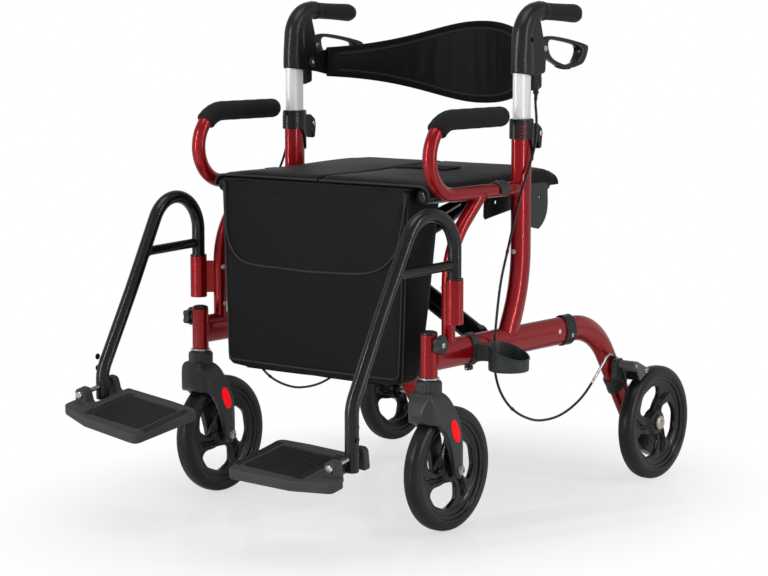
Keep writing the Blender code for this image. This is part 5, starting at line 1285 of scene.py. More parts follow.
def forkLens(bm, tree, x, way):
    # the reflector, laid on the fork's outer face
    inwards = Vector((-way, 0, 0))
    lean = Vector((0, -.386, .922)).normalized()
    across = lean.cross(inwards)
    pad = Vector((x + way * .05, *forkLook["lens"]))
    rings = []
    for up, wide, tall in ((-.001, 1, 1), (.0004, 1, 1), (.0011, .9, .95), (.0014, .6, .8),
            (.0015, .2, .5)):
        ring = []
        for c, s in turnPairs(40, 1, 0):
            rise = .0205 * tall * copysign(abs(s) ** .8, s)
            spot = pad + across * (.0088 * wide * c) + lean * rise
            ring.append((tree.ray_cast(spot, inwards)[0] or tree.ray_cast(pad, inwards)[0]) - inwards * up)
        rings.append(ring)
    skin(bm, rings, finishIndex=1)


def casterFork(word, side):
    x, y, axle = chair["sideX"], chair["headY"], (chair["casterY"], chair["wheelZ"])
    shape = forkShell()
    tree = BVHTree.FromBMesh(shape)
    bm = carved(shape, [less(turn, [(.0084, .2195), (.0084, .27)], (x, y, 0), (0, 0, 1), 32),
        less(turn, [(.0044, -.05), (.0044, .05)], (x, *axle), (1, 0, 0), 28)])
    knurl = []
    for height, radius, depth in ((.23, .018, 0), (.2318, .0204, 0), (.233, .021, .0011),
            (.2478, .021, .0011), (.2492, .0204, 0), (.2512, .019, 0), (.2526, .015, 0), (.253, .01, 0)):
        ring = []
        for step in range(144):
            angle = 2 * pi * step / 144
            reach = radius - depth * (.5 + .5 * cos(24 * angle)) ** 2
            ring.append(Vector((x + reach * cos(angle), y + reach * sin(angle), height)))
        knurl.append(ring)
    skin(bm, knurl)
    for way in (-1, 1):
        turn(bm, [(.0108, 0.0), (.0106, .004), (.0098, .0054), (.008, .006)], (x + way * .023, *axle),
            (way, 0, 0), 32)
        forkLens(bm, tree, x, way)
    dressSide(word, "CasterForkMoulding", "caster_fork", bm, [forkGrey, lens], 46)


def casterStem(word, side):
    shape = [(.0078, .2202), (.008, .2206), (.008, .2531), (.0158, .2533), (.0166, .2537), (.0166, .2548),
        (.016, .2552), (.0166, .2556), (.0166, .2564), (.0158, .2567), (.008, .2567), (.008, .3154),
        (.0074, .316), (.003, .3162)]
    cap = [(.0078, .3161), (.013, .3258), (.0136, .3262), (.0134, .3284), (.0118, .3302), (.008, .3314),
        (.003, .3319)]
    bm = drawn(lathe, (chair["sideX"], chair["headY"], 0), (0, 0, 1), (48, 0, shape), (40, 1, cap))
    dressSide(word, "CasterStemSteel", "caster_stem", bm, [chrome, black])


def casterAxle(word, side):
    x, y, z = chair["sideX"], chair["casterY"], chair["wheelZ"]
    bm = drawn(turn, [(.0039, -.03), (.0039, .03)], (x, y, z), (1, 0, 0), 24)
    for way in (-1, 1):
        turn(bm, [(.0072, .0292), (.0074, .0294), (.0074, .03), (.007, .0302)], (x, y, z), (way, 0, 0), 32)
        screw(bm, (x + way * .03, y, z), (way, 0, 0), .0063, .0036, 0, 6, side * way > 0)
    dressSide(word, "CasterAxleBolt", "caster_axle", bm, [chrome])


def starKnob(word, side):
    start, y, z = .2613, chair["headY"], .31
    shape = [(.0024, .8), (.003, .92), (.0046, .985), (.007, 1.0), (.0112, 1.0), (.013, .985), (.0142, .93),
        (.0149, .84), (.0151, .7), (.0151, .4)]
    rings = []
    for depth, size in shape:
        ring = []
        for step in range(100):
            angle = 2 * pi * step / 100
            reach = .0165 * size * (.86 + .14 * cos(5 * angle) * size)
            ring.append(Vector((start + depth, y + reach * cos(angle), z + reach * sin(angle))))
        rings.append(ring)
    bm = drawn(skin, rings)
    turn(bm, [(.0072, 0.0), (.0075, .0004), (.0075, .004)], (start, y, z), (1, 0, 0), 32)
    turn(bm, [(.0034, .2566), (.0034, .265)], (0, y, z), (1, 0, 0), 20, finishIndex=1)
    screw(bm, (start + .0148, y, z), (1, 0, 0), .0045, .0014, 1)
    dressSide(word, "StarKnobMoulding", "star_knob", bm, [strapGrey, chrome])


bothSides(casterFork, casterStem, casterAxle, starKnob)
print("casters built")


# swing-away footrests: a bent tube with a welded brace, and the flip-up plate
footLook = {"socketX": .276, "socketY": -.167, "footX": .266, "footY": -.413, "bend": .06, "bendZ": .459,
    "lean": 28.5, "radius": .011, "brace": .008, "braceZ": .432, "pitch": 10.0, "hinge": {1: .164,
    -1: .219}, "roll": {1: 3.0, -1: -7.0}, "top": -.014, "skirt": .017}


def hangerPath(side):
    look = footLook
    lean = radians(look["lean"])
    arch = arcPoints((look["socketY"] - look["bend"], look["bendZ"]), look["bend"], 0, 180 - look["lean"],
        40)
    kneeZ = arch[-1].y - (arch[-1].x - look["footY"]) / tan(lean)
    reach = look["bend"] * tan(lean / 2)
    knee = arcPoints((look["footY"] + look["bend"], kneeZ - reach), look["bend"], 180 - look["lean"], 180,
        12)
    straight = [arch[-1].lerp(knee[0], step / 8) for step in range(1, 8)]
    low = Vector((look["footY"], look["hinge"][side] - .021))
    flat = [Vector((look["socketY"], z)) for z in (.3453, .39, .43)] + arch + straight + knee + [low]
    path = []
    for y, z in flat:
        share = min(1.0, max(0.0, (look["socketY"] - y) / .173))
        path.append(Vector((look["socketX"] + (look["footX"] - look["socketX"]) * share, y, z)))
    return path


def footrestHanger(word, side):
    look = footLook
    x, y, foot = look["socketX"], look["socketY"], look["hinge"][side]
    shape = drawn(sweep, hangerPath(side), look["radius"], None, 40, 2.0, .0008)
    lean = radians(look["lean"])
    drop = look["bendZ"] + look["bend"] * sin(lean) - look["braceZ"]
    frontY = y - look["bend"] * (1 + cos(lean)) - drop * tan(lean)
    rear = Vector((x, y, look["braceZ"] + .004))
    front = Vector((x + (look["footX"] - x) * (y - frontY) / .173, frontY, look["braceZ"]))
    way, middle = (front - rear).normalized(), (front + rear) / 2
    bm = drawn(sweep, [rear, middle, front], look["brace"], None, 32)
    for direction in (way, -way):
        bead(bm, shape, ringAt(middle, direction, look["brace"] + .0002, look["brace"] + .0002, 36),
            direction, .0019)
    merged(bm, shape)
    # the lower dot is drawn twice, and its dark look comes from that
    for z in (foot, foot + .019, foot):
        turn(bm, [(.0052, 0.0), (.0052, .0004), (.004, .0004)], (look["footX"] + look["radius"] - .0006,
            look["footY"], z + .028), (1, 0, 0), 20, finishIndex=1)
    turn(bm, [(.0112, .4122), (.0138, .4123), (.0142, .4128), (.0142, .4142), (.0136, .415),
        (.0112, .4152)], (x, y, 0), (0, 0, 1), 44, finishIndex=1)
    turn(bm, [(.01, .0006), (.0107, 0.0), (.0107, -.0012), (.0092, -.0024), (.004, -.0028)],
        (look["footX"], look["footY"], foot - .021), (0, 0, 1), 32, finishIndex=1)
    dressSide(word, "FootrestHangerTube", "footrest_hanger", bm, [tubeBlack, black])


def platePlace(side):
    look = footLook
    return (Matrix.Translation((look["footX"], look["footY"],
        look["hinge"][side])) @ Matrix.Rotation(radians(look["pitch"]), 4,
        "X") @ Matrix.Rotation(radians(look["roll"][side]), 4, "Y"))


def footplate(word, side):
    top, low, leg = footLook["top"], footLook["top"] - footLook["skirt"], -.0165
    corners = [(-.178, .039), (-.118, .043), (leg, .043), (leg, -.034), (.018, -.044), (.018, -.074),
        (-.048, -.0947), (-.168, -.1007)]
    edge = roundCorners(corners, [.014, .02, .006, .006, .009, .012, .04, .014], 6)
    hollow = [(-.174, .035), (-.118, .039), (leg - .004, .039), (leg - .004, -.0375), (.014, -.0475),
        (.014, -.0715), (-.0485, -.0905), (-.164, -.0965)]
    pad = roundCorners([(-.152, -.076), (-.152, .018), (-.052, .018), (-.052, -.076)], .006, 6)
    wide = .011
    lug = roundCorners([(leg - .016, top - .0125), (wide, top - .0125), (wide - .0006, .0052),
        (wide - .0055, .0095), (-wide + .0055, .0095), (-wide + .0005, .0058), (-.015, top + .001),
        (leg - .016, top - .0008)], [0, .004, .006, .006, .006, .008, .006, 0.0], 6)
    bm = carved(drawn(plate, edge, low, top, "Z", .0024, 4), [less(plate, roundCorners(hollow, .006, 4),
        low - .01, top - .0042, "Z", 0.0), less(plate, inset(pad, -.0024), top - .0025, top + .01, "Z", 0),
        plus(plate, lug, -.054, -.0345, "Y", .0022, 4), plus(plate, lug, .0165, .0295, "Y", .0022, 4)])
    bm = carved(bm, [less(turn, [(.0044, -.08), (.0044, .06)], (0, 0, 0), (0, 1, 0), 28)])
    tube(bm, [(p.x, p.y, top - .0001) for p in inset(edge, .0075) if p.x < -.02], .0006, 6)
    tube(bm, [(p.x, p.y, top - .0105) for p in inset(edge, .0002)], .0007, 6, 0, True)
    plate(bm, inset(pad, .0006), top - .0027, top - .0012, "Z", .0006, 2, 1)
    for row in range(9):
        y = -.071 + .0105 * row
        tube(bm, [(x, y, top - .0012) for x in (-.149, -.1, -.055)], .0006, 6, 1)
    # the studs on the two side strips are drawn in moulded black, much darker than the tray: painted shade,
    # standing in for the dark that falls into the dots
    for first in (-.1705, -.0475):
        for column in range(3):
            for row in range(19):
                x, y = first + .0052 * column, -.078 + .0056 * row
                stud = [(x + a * .0015, y + b * .0016) for a, b in ((-1, -1), (1, -1), (1, 1), (-1, 1))]
                plate(bm, stud, top - .0006, top + .0011, "Z", .0004, 1, 2)
    bmesh.ops.transform(bm, matrix=platePlace(side), verts=bm.verts)
    dressSide(word, "FootplateTray", "footplate", bm, [tray, padRubber, black], 36)


def footplatePin(word, side):
    bm = drawn(lathe, (0, 0, 0), (0, 1, 0), (24, 0, [(.0039, -.0528), (.0039, .0333)]),
        (28, 0, [(.0062, -.0548), (.0065, -.0552), (.006, -.0572), (.004, -.058)]),
        (28, 0, [(.0058, .0296), (.0062, .03), (.0058, .0316), (.004, .0324)]))
    bmesh.ops.transform(bm, matrix=platePlace(side), verts=bm.verts)
    dressSide(word, "FootplateHingePin", "footplate_pin", bm, [chrome])


bothSides(footrestHanger, footplate, footplatePin)
print("footrests built")


# cane holder: a strap round the left beam with an open, slanted cup
def caneHolder():
    x, y, radius, bottom, rim, slant = .3065, -.06, .0335, .2555, .289, .38

    def ring(size, rise, share):
        # level at share 0, up at the slanted rim at share 1
        return [Vector((x + radius * size * c, y + radius * size * s,
            bottom + rise + (rim - slant * radius * c - bottom) * share)) for c, s in turnPairs(72, 1, 0)]

    levels = [(.6, -.0004, 0), (.9, 0.0, 0), (.96, .0008, 0), (.985, .0025, 0), (.99, .006, 0),
        (.992, .012, 0), (1.0, 0.0, .92), (1.0, 0.0, .985), (.992, 0.0, 1), (.965, 0.0, 1),
        (.955, 0.0, .985), (.925, 0.0, .9), (.915, .006, 0), (.9, .0032, 0), (.8, .0026, 0), (.3, .0025, 0)]
    bm = drawn(skin, [ring(*level) for level in levels])
    tube(bm, ring(1, -.0016, 1), .0012, 8, 0, True)
    front, rear = y - .036, y - .02
    band = [(front, .0006), (front, .0024), (front + .0008, .0031), (rear - .0008, .0031), (rear, .0024),
        (rear, .0006)]
    sweep(bm, inPlane([(spot, chair["beamZ"]) for spot, wall in band]), [chair["beamWide"] + wall for spot,
        wall in band], [chair["beamTall"] + wall for spot, wall in band], 56, 2.0)
    web = roundCorners([(.2635, y - .034), (.2635, y - .012), (.279, y - .0095), (.29, y - .024)], .003, 5)
    plate(bm, web, .272, .2985, "Z", .0012, 3)
    tab = roundCorners([(.2425, .2618), (.2515, .2618), (.2505, .2545), (.2435, .2545)], .0015, 4)
    plate(bm, tab, front + .001, rear - .001, "Y", .0008, 2)
    screw(bm, (.247, front + .0012, .2575), (0, -1, 0), .0024, .0012, 1)
    screw(bm, (x - .02, y - .014, .2775), (1, .75, 0), .004, .0016, 1)
    dress("caneCupHolder", bm, "cane_holder", [strapGrey, chrome], 1)


caneHolder()
print("cane holder built")


# cloth helpers
def puff(piece, pinned, pressure, cap, frames=20):
    # swells a closed cloth form between its pinned seams, then fixes the result
    rest = [vertex.co.copy() for vertex in piece.data.vertices]
    group = piece.vertex_groups.new(name="seams")
    for index, weight in pinned.items():
        group.add([index], weight, "REPLACE")
    swell = piece.modifiers.new("swell", "CLOTH")
    for word, value in (("quality", 6), ("mass", .35), ("tension_stiffness", 18),
            ("compression_stiffness", 18), ("shear_stiffness", 8), ("bending_stiffness", .6),
            ("use_pressure", True), ("uniform_pressure_force", pressure), ("vertex_group_mass", "seams")):
        setattr(swell.settings, word, value)
    swell.settings.effector_weights.gravity = 0
    swell.collision_settings.use_self_collision = False
    swell.point_cache.frame_start, swell.point_cache.frame_end = 1, frames
    for step in range(1, frames + 1):
        bpy.context.scene.frame_set(step)
    shown = piece.evaluated_get(bpy.context.evaluated_depsgraph_get())
    moved = [vertex.co.copy() for vertex in shown.data.vertices]
    piece.modifiers.remove(swell)
    for vertex, start, end in zip(piece.data.vertices, rest, moved):
        shift = end - start
        if shift.length > cap:
            shift *= cap / shift.length
        vertex.co = start + shift
    bpy.context.scene.frame_set(1)
    piece.data.update()


def softer(piece, levels=1):
    smooth = piece.modifiers.new("softer", "SUBSURF")
    smooth.levels = smooth.render_levels = levels


def gridPad(bm, columns, rows, top, bottom):
    # a closed pad from two functions of (column share, row share); the rims are shared
    upper, lower = [], []
    for row in range(rows + 1):
        upper.append([])
        lower.append([])
        for column in range(columns + 1):
            u, v = column / columns, row / rows
            vertex = bm.verts.new(top(u, v))
            upper[-1].append(vertex)
            rim = row in (0, rows) or column in (0, columns)
            lower[-1].append(vertex if rim else bm.verts.new(bottom(u, v)))
    for grid in (upper, lower):
        for near, far in zip(grid, grid[1:]):
            for column in range(columns):
                bm.faces.new((near[column], near[column + 1], far[column + 1], far[column]))


def toChair(x, y, z):
    # from the left half's own frame to the chair's, for points cast on placed pieces
    return Vector((x + chair["shiftX"], y, z))


def unplaced(points):
    return [point - Vector((chair["shiftX"], 0, 0)) for point in points]


# seat: two halves of a padded sling, each wrapped on its rail
seatLook = {"slot": .0009, "front": -.1715, "rear": .1895, "under": .5531, "thick": .0112,
    "edgeThick": .0072, "columns": 40, "rows": 62, "hem": .012, "pressure": 2.2, "cap": .003,
    "strapY": .029, "strapHalf": .024}


def seatHalf(word, side):
    look = seatLook
    wrap = chair["railRadius"] + chair["gap"] + .0002

    def spot(u, v, high):
        # u runs from the slot out over the rail and down round it
        y = look["front"] + (look["rear"] - look["front"]) * v
        flatEnd = .78
        edge = min(v, 1 - v) * (look["rear"] - look["front"])
        full = .6 + .4 * smoothstep(0.0, .018, edge)
        rise = .0062 * smoothstep(.25, .92, v)
        if u <= flatEnd:
            x = look["slot"] + (chair["railX"] - look["slot"]) * u / flatEnd
            slotEdge = smoothstep(0.0, .005, x - look["slot"])
            railEdge = smoothstep(0.0, .05, chair["railX"] - x)
            crown = look["edgeThick"] + (look["thick"] - look["edgeThick"]) * railEdge
            crown = (crown * (.9 + .1 * slotEdge) + rise) * full
            return Vector((x, y, look["under"] + (crown if high else .0002)))
        share = (u - flatEnd) / (1 - flatEnd)
        angle = radians(90 - 98 * share)
        outer = wrap + .003 + ((look["edgeThick"] + rise) * full - .003) * (1 - share) ** 1.5
        radius = outer if high else wrap
        return Vector((chair["railX"] + radius * cos(angle), y, chair["railZ"] + radius * sin(angle)))

    bm = bmesh.new()
    gridPad(bm, look["columns"], look["rows"], lambda u, v: spot(u, v, True), lambda u, v: spot(u, v,
        False))
    pad = dress(word + "SeatCushion", bm, word + "_seat_half", [fabric], side, 60, False)
    pinned = {}
    for vertex in pad.data.vertices:
        x = abs(vertex.co.x - chair["shiftX"])
        y = vertex.co.y
        inside = min(y - look["front"], look["rear"] - y, x - look["slot"])
        over = x > chair["railX"] - .008 or vertex.co.z < look["under"] + .001
        pinned[vertex.index] = 1.0 if inside < look["hem"] or over else 0.0
    puff(pad, pinned, look["pressure"], look["cap"])
    softer(pad)
    seatTrim(word, side, evaluatedTree(pad))


def seatTrim(word, side, tree):
    # the seams, the hems' piping and the pull strap, all laid on the swollen pad
    look = seatLook
    down = Vector((0, 0, -1))

    def cast(spots, lift):
        above = [Vector((side * x + chair["shiftX"], y, .62)) for x, y in spots]
        points, normals = laid(tree, above, down, lift)
        place = Matrix.Diagonal((side, 1, 1))
        return [place @ p for p in unplaced(points)], [place @ n for n in normals]

    bm = bmesh.new()
    xs = [look["slot"] + .009 + (.196 - look["slot"]) * step / 60 for step in range(61)]
    ys = [look["front"] + .011 + (look["rear"] - look["front"] - .022) * step / 80 for step in range(81)]
    for y in (look["front"] + .011, look["rear"] - .011):
        stitches(bm, cast([(x, y) for x in xs], .0002)[0])
    for x in (look["slot"] + .009, .2):
        stitches(bm, cast([(x, y) for y in ys], .0002)[0])
    for y, by in ((look["front"], -.0006), (look["rear"], .0006)):
        lift = .0026 * (y > 0)
        points = [Vector((.002 + .214 * step / 40, y + by, .5568 + lift)) for step in range(41)]
        arc = [Vector((chair["railX"] + .0165 * cos(radians(a)), y + by,
            chair["railZ"] + .0165 * sin(radians(a)))) for a in range(70, -6, -8)]
        # the hem piping's paler colour is partly painted highlight along the seat's front and rear edges
        tube(bm, points[:-1] + arc, .0023, 10, 1)
    if side > 0:
        spots = [(.022 + .104 * step / 24, look["strapY"]) for step in range(25)]
        points, normals = cast(spots, .0012)
        ribbon(bm, points, normals, look["strapHalf"], .0009, 2, 20, 5.0)
        for edge in (-1, 1):
            row = cast([(x, look["strapY"] + edge * (look["strapHalf"] - .003)) for x, y in spots],
                .0023)[0]
            stitches(bm, row)
    addPiece(word + "SeatTrim", bm, word + "_seat", [stitch, piping, tape], side, 60)


bothSides(seatHalf)
print("seat made")


# backrest: a bowed padded band with bound edges and a tab beside each handle
backLook = {"z": .742, "endY": .112, "bow": .176, "tabX": .2284, "endTall": .047, "midTall": .1455,
    "half": .0056, "columns": 96, "rows": 24, "border": .1, "pressure": 3.0, "cap": .0042, "bind": .0056}


def backCentre(share):
    # middle line of the band: share runs from -1 on the right to 1 on the left
    look = backLook
    return Vector((look["tabX"] * share, look["endY"] + look["bow"] * (1 - abs(share) ** 2.2), look["z"]))


def backTall(share):
    look = backLook
    swell = exp(-(abs(look["tabX"] * share) / .148) ** 2.2)
    return .5 * (look["endTall"] - .005 + (look["midTall"] - look["endTall"] + .005) * swell)


def backOut(share):
    low, high = max(-1.0, share - .004), min(1.0, share + .004)
    way = (backCentre(high) - backCentre(low)).normalized()
    return Vector((-way.y, way.x, 0))


def backSpot(share, height, depth):
    # height from -1 to 1 over the band, depth to the front or rear of it
    return backCentre(share) + backOut(share) * depth + Vector((0, 0, backTall(share) * height))


def backSquash(piece):
    tuple(toChair(chair["sideX"], 0, .742))
    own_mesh(piece)


def backrest():
    look = backLook

    def face(sign):
        def spot(u, v):
            share, height = 2 * u - 1, 2 * v - 1
            rim = min(1 - abs(height), (1 - abs(share)) * 5)
            depth = look["half"] * sqrt(min(1.0, max(0.0, rim / .16)))
            return backSpot(share * .985, height, sign * depth)
        return spot

    bm = bmesh.new()
    gridPad(bm, look["columns"], look["rows"], face(1), face(-1))
    pad = dress("backrestPad", bm, "backrest", [fabric], 1, 60, False)
    pinned = {}
    for index, vertex in enumerate(pad.data.vertices):
        share = max(-1.0, min(1.0, (vertex.co.x - chair["shiftX"]) / look["tabX"]))
        height = abs(vertex.co.z - look["z"]) / backTall(share)
        pinned[index] = 1.0 if height > 1 - look["border"] or abs(share) > .95 else 0.0
    puff(pad, pinned, look["pressure"], look["cap"])
    softer(pad)
    backTrim(evaluatedTree(pad))
    backSquash(pad)


def backTrim(tree):
    look = backLook
    bm = bmesh.new()
    shares = [-.978 + 1.956 * step / 120 for step in range(121)]
    pairs = turnPairs(16, .7)

    def row(sign, face, drop, lift):
        # points on the swollen band, this far in from its edge
        spots = []
        for share in shares[3:-3]:
            out = backOut(share) * face
            spot = backSpot(share, sign * (1 - drop / backTall(share)), face * .03)
            hit = tree.ray_cast(toChair(*spot), -out)[0]
            if hit:
                spots.append(unplaced([hit])[0] + out * lift)
        return spots

    for sign in (-1, 1):
        rings = []
        for share in shares:
            centre = backSpot(share, sign * (1 - look["bind"] / backTall(share)), 0)
            centre.z += sign * .0008
            rings.append([centre + backOut(share) * ((look["half"] + .0006) * c) + Vector((0, 0,
                look["bind"] * s)) for c, s in pairs])
        skin(bm, rings)
        for face in (-1, 1):
            # the piping's paler colour is partly painted highlight along the band's borders
            tube(bm, smoothLine(row(sign, face, .0128, .0004), .004), .001, 8, 1)
            stitches(bm, row(sign, face, .002 + look["bind"] * 1.5, .0013), 2)
    for end in (-1, 1):
        out = backOut(.966 * end)
        along = out.cross(Vector((0, 0, 1)))
        rings = []
        for part in range(21):
            centre = backSpot(.966 * end, .97 * (2 * part / 20 - 1), 0)
            rings.append([centre + out * ((look["half"] + .0008) * c) + along * (.006 * s) for c,
                s in pairs])
        skin(bm, rings)
        x = end * look["tabX"]
        tab = roundCorners([(.056, .73), (.056, .754), (.097, .759), (.123, .764), (.123, .72),
            (.097, .725)], [.009, .009, .01, 0, 0, .01], 6)
        plate(bm, tab, x - .0018, x + .0018, "X", .0008, 2, 0)
        turn(bm, [(.0092, 0.0), (.0092, .001), (.0082, .002), (.005, .0024)], (x - end * .0016, .083, .742),
            (-end, 0, 0), 32, finishIndex=3)
        screw(bm, (x - end * .0036, .083, .742), (-end, 0, 0), .0036, .0014, 4)
    trim = addPiece("backrestTrim", bm, "left_handle", [tape, piping, stitch, black,
        chrome], 1, 60)
    backSquash(trim)


backrest()
print("backrest made")


# bag: a shell hung from the seat's front, with a flap and piped edges
bagLook = {"topHalf": .2, "bottomHalf": .1885, "front": -.1928, "backTop": -.098, "backLow": -.148,
    "bottom": .2322, "top": .5522, "corner": .012, "pressure": 1.0, "cap": .0055, "flapLow": .408,
    "flapLeft": -.186, "flapRight": .1975}


def bagHalf(share):
    return bagLook["bottomHalf"] + (bagLook["topHalf"] - bagLook["bottomHalf"]) * share


def bagRing(share, grow=0.0):
    look = bagLook
    half = bagHalf(share) + grow
    front = look["front"] - grow
    back = look["backLow"] + (look["backTop"] - look["backLow"]) * share ** .6 + grow
    z = look["bottom"] + (look["top"] - look["bottom"]) * share
    spots = []
    for x0, y0, x1, y1, steps in ((-half, front, half, front, 44), (half, front, half, back, 12),
            (half, back, -half, back, 44), (-half, back, -half, front, 12)):
        for step in range(steps):
            part = step / steps
            spots.append(Vector((x0 + (x1 - x0) * part, y0 + (y1 - y0) * part)))
    ring = []
    for p in spots:
        dx, dy = half - abs(p.x), min(p.y - front, back - p.y)
        corner = look["corner"]
        if dx < corner and dy < corner:
            away = Vector((corner - dx, corner - dy))
            size = max(away.x, away.y)
            if away.length > 1e-6:
                scaled = away * (size / away.length)
                p = Vector((copysign(half - corner + scaled.x, p.x),
                    (front + corner - scaled.y) if p.y - front < back - p.y else (back - corner
                    + scaled.y)))
        ring.append(Vector((p.x, p.y, z)))
    return ring


def bagSquash(piece):
    tuple(toChair(chair["sideX"], 0, .4))
    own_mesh(piece)


def bag():
    look = bagLook
    rows = 38
    rings = [bagRing(row / rows) for row in range(rows + 1)]
    for row, by in ((0, .006), (1, .0015)):
        middle = sum(rings[row], Vector()) / len(rings[row])
        rings[row] = [p + (middle - p).normalized() * by for p in rings[row]]
    middle = sum(rings[0], Vector()) / len(rings[0])
    floor = [[p.lerp(middle, part) for p in rings[0]] for part in (.95, .7, .45, .2, .05)]
    last = rings[-1]
    top = [[p + (Vector((0, -.14, .5522)) - p).normalized() * .003 for p in last]]
    roof = [[p.lerp(Vector((0, -.14, .5522)), part) for p in top[0]] for part in (.3, .6, .9)]
    bm = bmesh.new()
    skin(bm, floor[::-1] + rings + top + roof)
    shell = dress("shoppingBag", bm, "bag", [fabric], 1, 70, False)
    pinned = {}
    for vertex in shell.data.vertices:
        x, y, z = abs(vertex.co.x - chair["shiftX"]), vertex.co.y, vertex.co.z
        share = (z - look["bottom"]) / (look["top"] - look["bottom"])
        corner = x > bagHalf(share) - .004 and (y < look["front"] + .014 or y > look["backLow"] - .01)
        held = z > look["top"] - .014 or corner or z < look["bottom"] + .006
        pinned[vertex.index] = 1.0 if held else 0.0
    puff(shell, pinned, look["pressure"], look["cap"])
    softer(shell)
    bagTrim(evaluatedTree(shell))
    bagSquash(shell)


def flapEdge():
    # the flap's free edge, from its top left down, round and up to its top right
    left, right, low = bagLook["flapLeft"], bagLook["flapRight"], bagLook["flapLow"]
    return smoothLine([(left, .546), (left, .52), (left + .001, .49), (left + .003, .462),
        (left + .013, .438), (left + .032, .42), (left + .062, .4115), (-.061, low + .0012), (0.0, low),
        (.04, low + .001), (.1, low + .0035), (.135, low + .009), (.163, low + .023), (.181, low + .047),
        (.189, low + .08), (right - .003, .52), (right, .546)], .004)


def bagTrim(tree):
    look = bagLook
    edge = flapEdge()

    def cast(x, z, lift):
        spot = tree.ray_cast(toChair(x, -.3, z), Vector((0, 1, 0)))[0] or toChair(x, look["front"], z)
        return unplaced([spot])[0] + Vector((0, -lift, 0))

    bm = bmesh.new()
    half = len(edge) // 2
    halves = edge[:half + 1], edge[:half - 1:-1]
    count = min(map(len, halves))
    left, right = [[line[int(step * (len(line) - 1) / (count - 1))] for step in range(count)]
        for line in halves]

    def sheet(lift, dip):
        # one face of the flap, thinner at its ends and lifted over the bag's rim
        def spot(u, v):
            index = min(count - 1, int(round(v * (count - 1))))
            a, b = left[index], right[index]
            flat = a.lerp(b, u)
            thin = dip * (1 - smoothstep(0.0, .012, min(u, 1 - u) * (b - a).length))
            return cast(*flat, lift - thin) + Vector((0, smoothstep(.522, .55, flat.y) * .0055, 0))
        return spot

    gridPad(bm, 64, count - 1, sheet(.0028, .001), sheet(.0004, 0.0))
    # the flap's piped edge and the rim line below are paler than the cloth: partly painted highlight
    tube(bm, [cast(*p, .0026) for p in edge], .0017, 10, 1)
    high = [(0.0, .244), (.155, .2448), (.1745, .2452), (.1815, .25), (.1835, .262), (.1873, .36),
        (.191, .46), (.194, .548)]
    tube(bm, [cast(*p, .0006) for p in smoothLine([(-x, z) for x, z in high[:0:-1]] + high, .005)], .0015,
        8, 1)
    for end in (-1, 1):
        for back in (False, True):
            spots = []
            for step in range(60):
                share = .03 + .95 * step / 59
                rear = look["backLow"] + (look["backTop"] - look["backLow"]) * share ** .6 - .004
                z = look["bottom"] + (look["top"] - look["bottom"]) * share
                hit = tree.ray_cast(toChair(end * .26, rear if back else look["front"] + .006, z),
                    Vector((-end, 0, 0)))[0]
                if hit:
                    spots.append(unplaced([hit])[0] + Vector((end * .0004, 0, 0)))
            if len(spots) > 4:
                # the side piping's paler colour is partly painted highlight
                tube(bm, smoothLine(spots, .006), .0014, 8, 1)
    for end in (-1, 1):
        strap = [Vector((end * .15, look["front"] - .0005 - .0012 * (z < .55), z)) for z in (.55, .5515,
            .5524)]
        ribbon(bm, strap, [Vector((0, -1, 0))] * 3, .012, .0006, 3, 14, 4.0)
    trim = addPiece("bagTrim", bm, "left_side", [fabric, piping, stitch, tape], 1, 60)
    bagSquash(trim)


bag()
print("bag made")


# plates under the seat's rails, seen beside the bag
def railPlate(word, body, side):
    outline = roundCorners([(.012, .531), (.01, .4912), (.022, .4928), (.104, .5045), (.112, .531)],
        [.003, .006, .02, .006, .003], 6)
    bm = carved(drawn(plate, outline, .203, .206, "X", .0006, 2), [less(turn, [(.0036, -.01), (.0036, .01)],
        (.2045, .043, .517), (1, 0, 0), 24)])
    tube(bm, [(.2045, .014, .4915), (.2045, .04, .4955), (.2045, .103, .5046)], .0017, 8)
    addPiece(word + "RailPlate", bm, body, [tubeBlack], side)


railPlate("left", "arm_b", 1)
railPlate("right", "arm_a", -1)


# stage, light and camera
stageLook = {"floor": (.93, .93, .935), "clear": .3, "gone": .68, "shine": .09, "fill": .62, "zenith": .3,
    "base": .6}


def floorPlane():
    look = stageLook
    floor = Finish("paleFloor", .2, roughness=.9)
    away = floor.node("ShaderNodeVectorMath", {"operation": "LENGTH"}, {0: floor.stretch(1.0, .78, 1.0)},
        "Value")
    fade = away.smooth(look["clear"], look["gone"]) * (1 - look["base"]) + look["base"]
    floor.set("baseColor", floor.mix(floor.noise(3.0, 2.0), look["floor"], (.945, .945, .95)))
    gloss = floor.node("ShaderNodeBsdfGlossy", {}, {"Color": (1, 1, 1), "Roughness": .06})
    rays = floor.node("ShaderNodeLightPath", {}, {}, "Is Camera Ray")
    base = Value(floor, floor.shader.outputs[0])
    shone = floor.node("ShaderNodeMixShader", {}, {0: look["shine"], 1: base, 2: gloss})
    glow = floor.node("ShaderNodeEmission", {}, {"Color": (1, 1, 1), "Strength": 1.0})
    mixed = floor.node("ShaderNodeMixShader", {}, {0: fade * rays, 1: shone, 2: glow})
    floor.feed(floor.tree.nodes["Material Output"].inputs["Surface"], mixed)
    bm = bmesh.new()
    skin(bm, [circle((0, 0, -.0002), (0, 0, 1), radius, 64) for radius in (1.0, 6.0, 30.0)], False)
    bm.verts.ensure_lookup_table()
    bm.faces.new(bm.verts[:64])
    mesh = meshOf(bm, "floor")
    mesh.materials.append(floor.material)
    stood("floor", mesh)


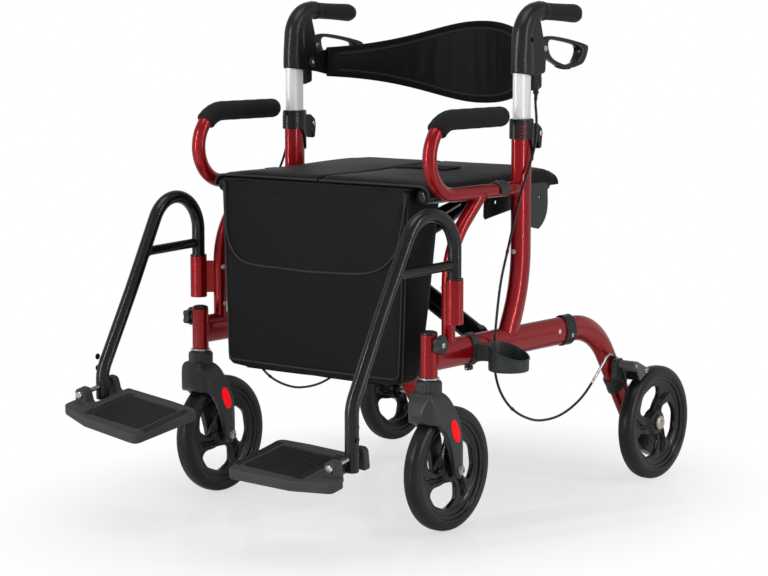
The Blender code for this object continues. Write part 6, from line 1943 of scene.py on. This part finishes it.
def world():
    # white to the camera; a studio that darkens upwards to every other ray
    made = bpy.data.worlds.new("studio")
    bpy.context.scene.world = made
    made.use_nodes = True
    studio = Graph(made.node_tree)
    light = studio.tree.nodes["Background"]
    way = studio.node("ShaderNodeTexCoord", {}, {}, "Generated")
    height = studio.node("ShaderNodeSeparateXYZ", {}, {0: way}, "Z")
    level = studio.node("ShaderNodeMapRange", {"interpolation_type": "SMOOTHSTEP"}, {0: height, 1: .05,
        2: .75, 3: stageLook["fill"], 4: stageLook["zenith"]})
    studio.feed(light.inputs["Color"], (1, 1, 1))
    studio.feed(light.inputs["Strength"], level)
    seen = studio.node("ShaderNodeBackground", {}, {"Color": (1, 1, 1)})
    rays = studio.node("ShaderNodeLightPath", {}, {}, "Is Camera Ray")
    mixed = studio.node("ShaderNodeMixShader", {}, {0: rays, 1: Value(studio, light.outputs[0]), 2: seen})
    studio.feed(studio.tree.nodes["World Output"].inputs["Surface"], mixed)


def lamp(name, azimuth, away, height, wide, tall, watts):
    # a soft box that stands at this azimuth, seen from the chair's front, and faces the chair
    data = bpy.data.lights.new(name, "AREA")
    data.shape, data.size, data.size_y, data.energy = "RECTANGLE", wide, tall, watts
    made = stood(name, data)
    angle = radians(azimuth)
    made.location = (sin(angle) * away, -cos(angle) * away, height)
    made.rotation_mode = "QUATERNION"
    made.rotation_quaternion = (made.location - Vector((0, 0, .45))).to_track_quat("Z", "Y")
    made.visible_camera = False


def camera():
    look = {"spot": (2.37467, -3.0223, .8476), "tilt": 82.8, "heading": 38.3, "lens": 105.9}
    data = bpy.data.cameras.new("camera")
    data.lens, data.sensor_width, data.clip_start = look["lens"], 36, .1
    made = stood("camera", data)
    made.location = look["spot"]
    made.rotation_euler = (radians(look["tilt"]), 0, radians(look["heading"]))
    bpy.context.scene.camera = made


floorPlane()
world()
lamp("keyStrip", -14, 3.0, 1.25, .12, 2.4, 42)
lamp("sideStrip", 104, 3.0, 1.25, .14, 2.4, 22)
lamp("softTop", 30, .5, 2.7, 1.5, 1.5, 15)
camera()
bpy.context.scene.view_settings.view_transform = "Standard"
print("stage set")
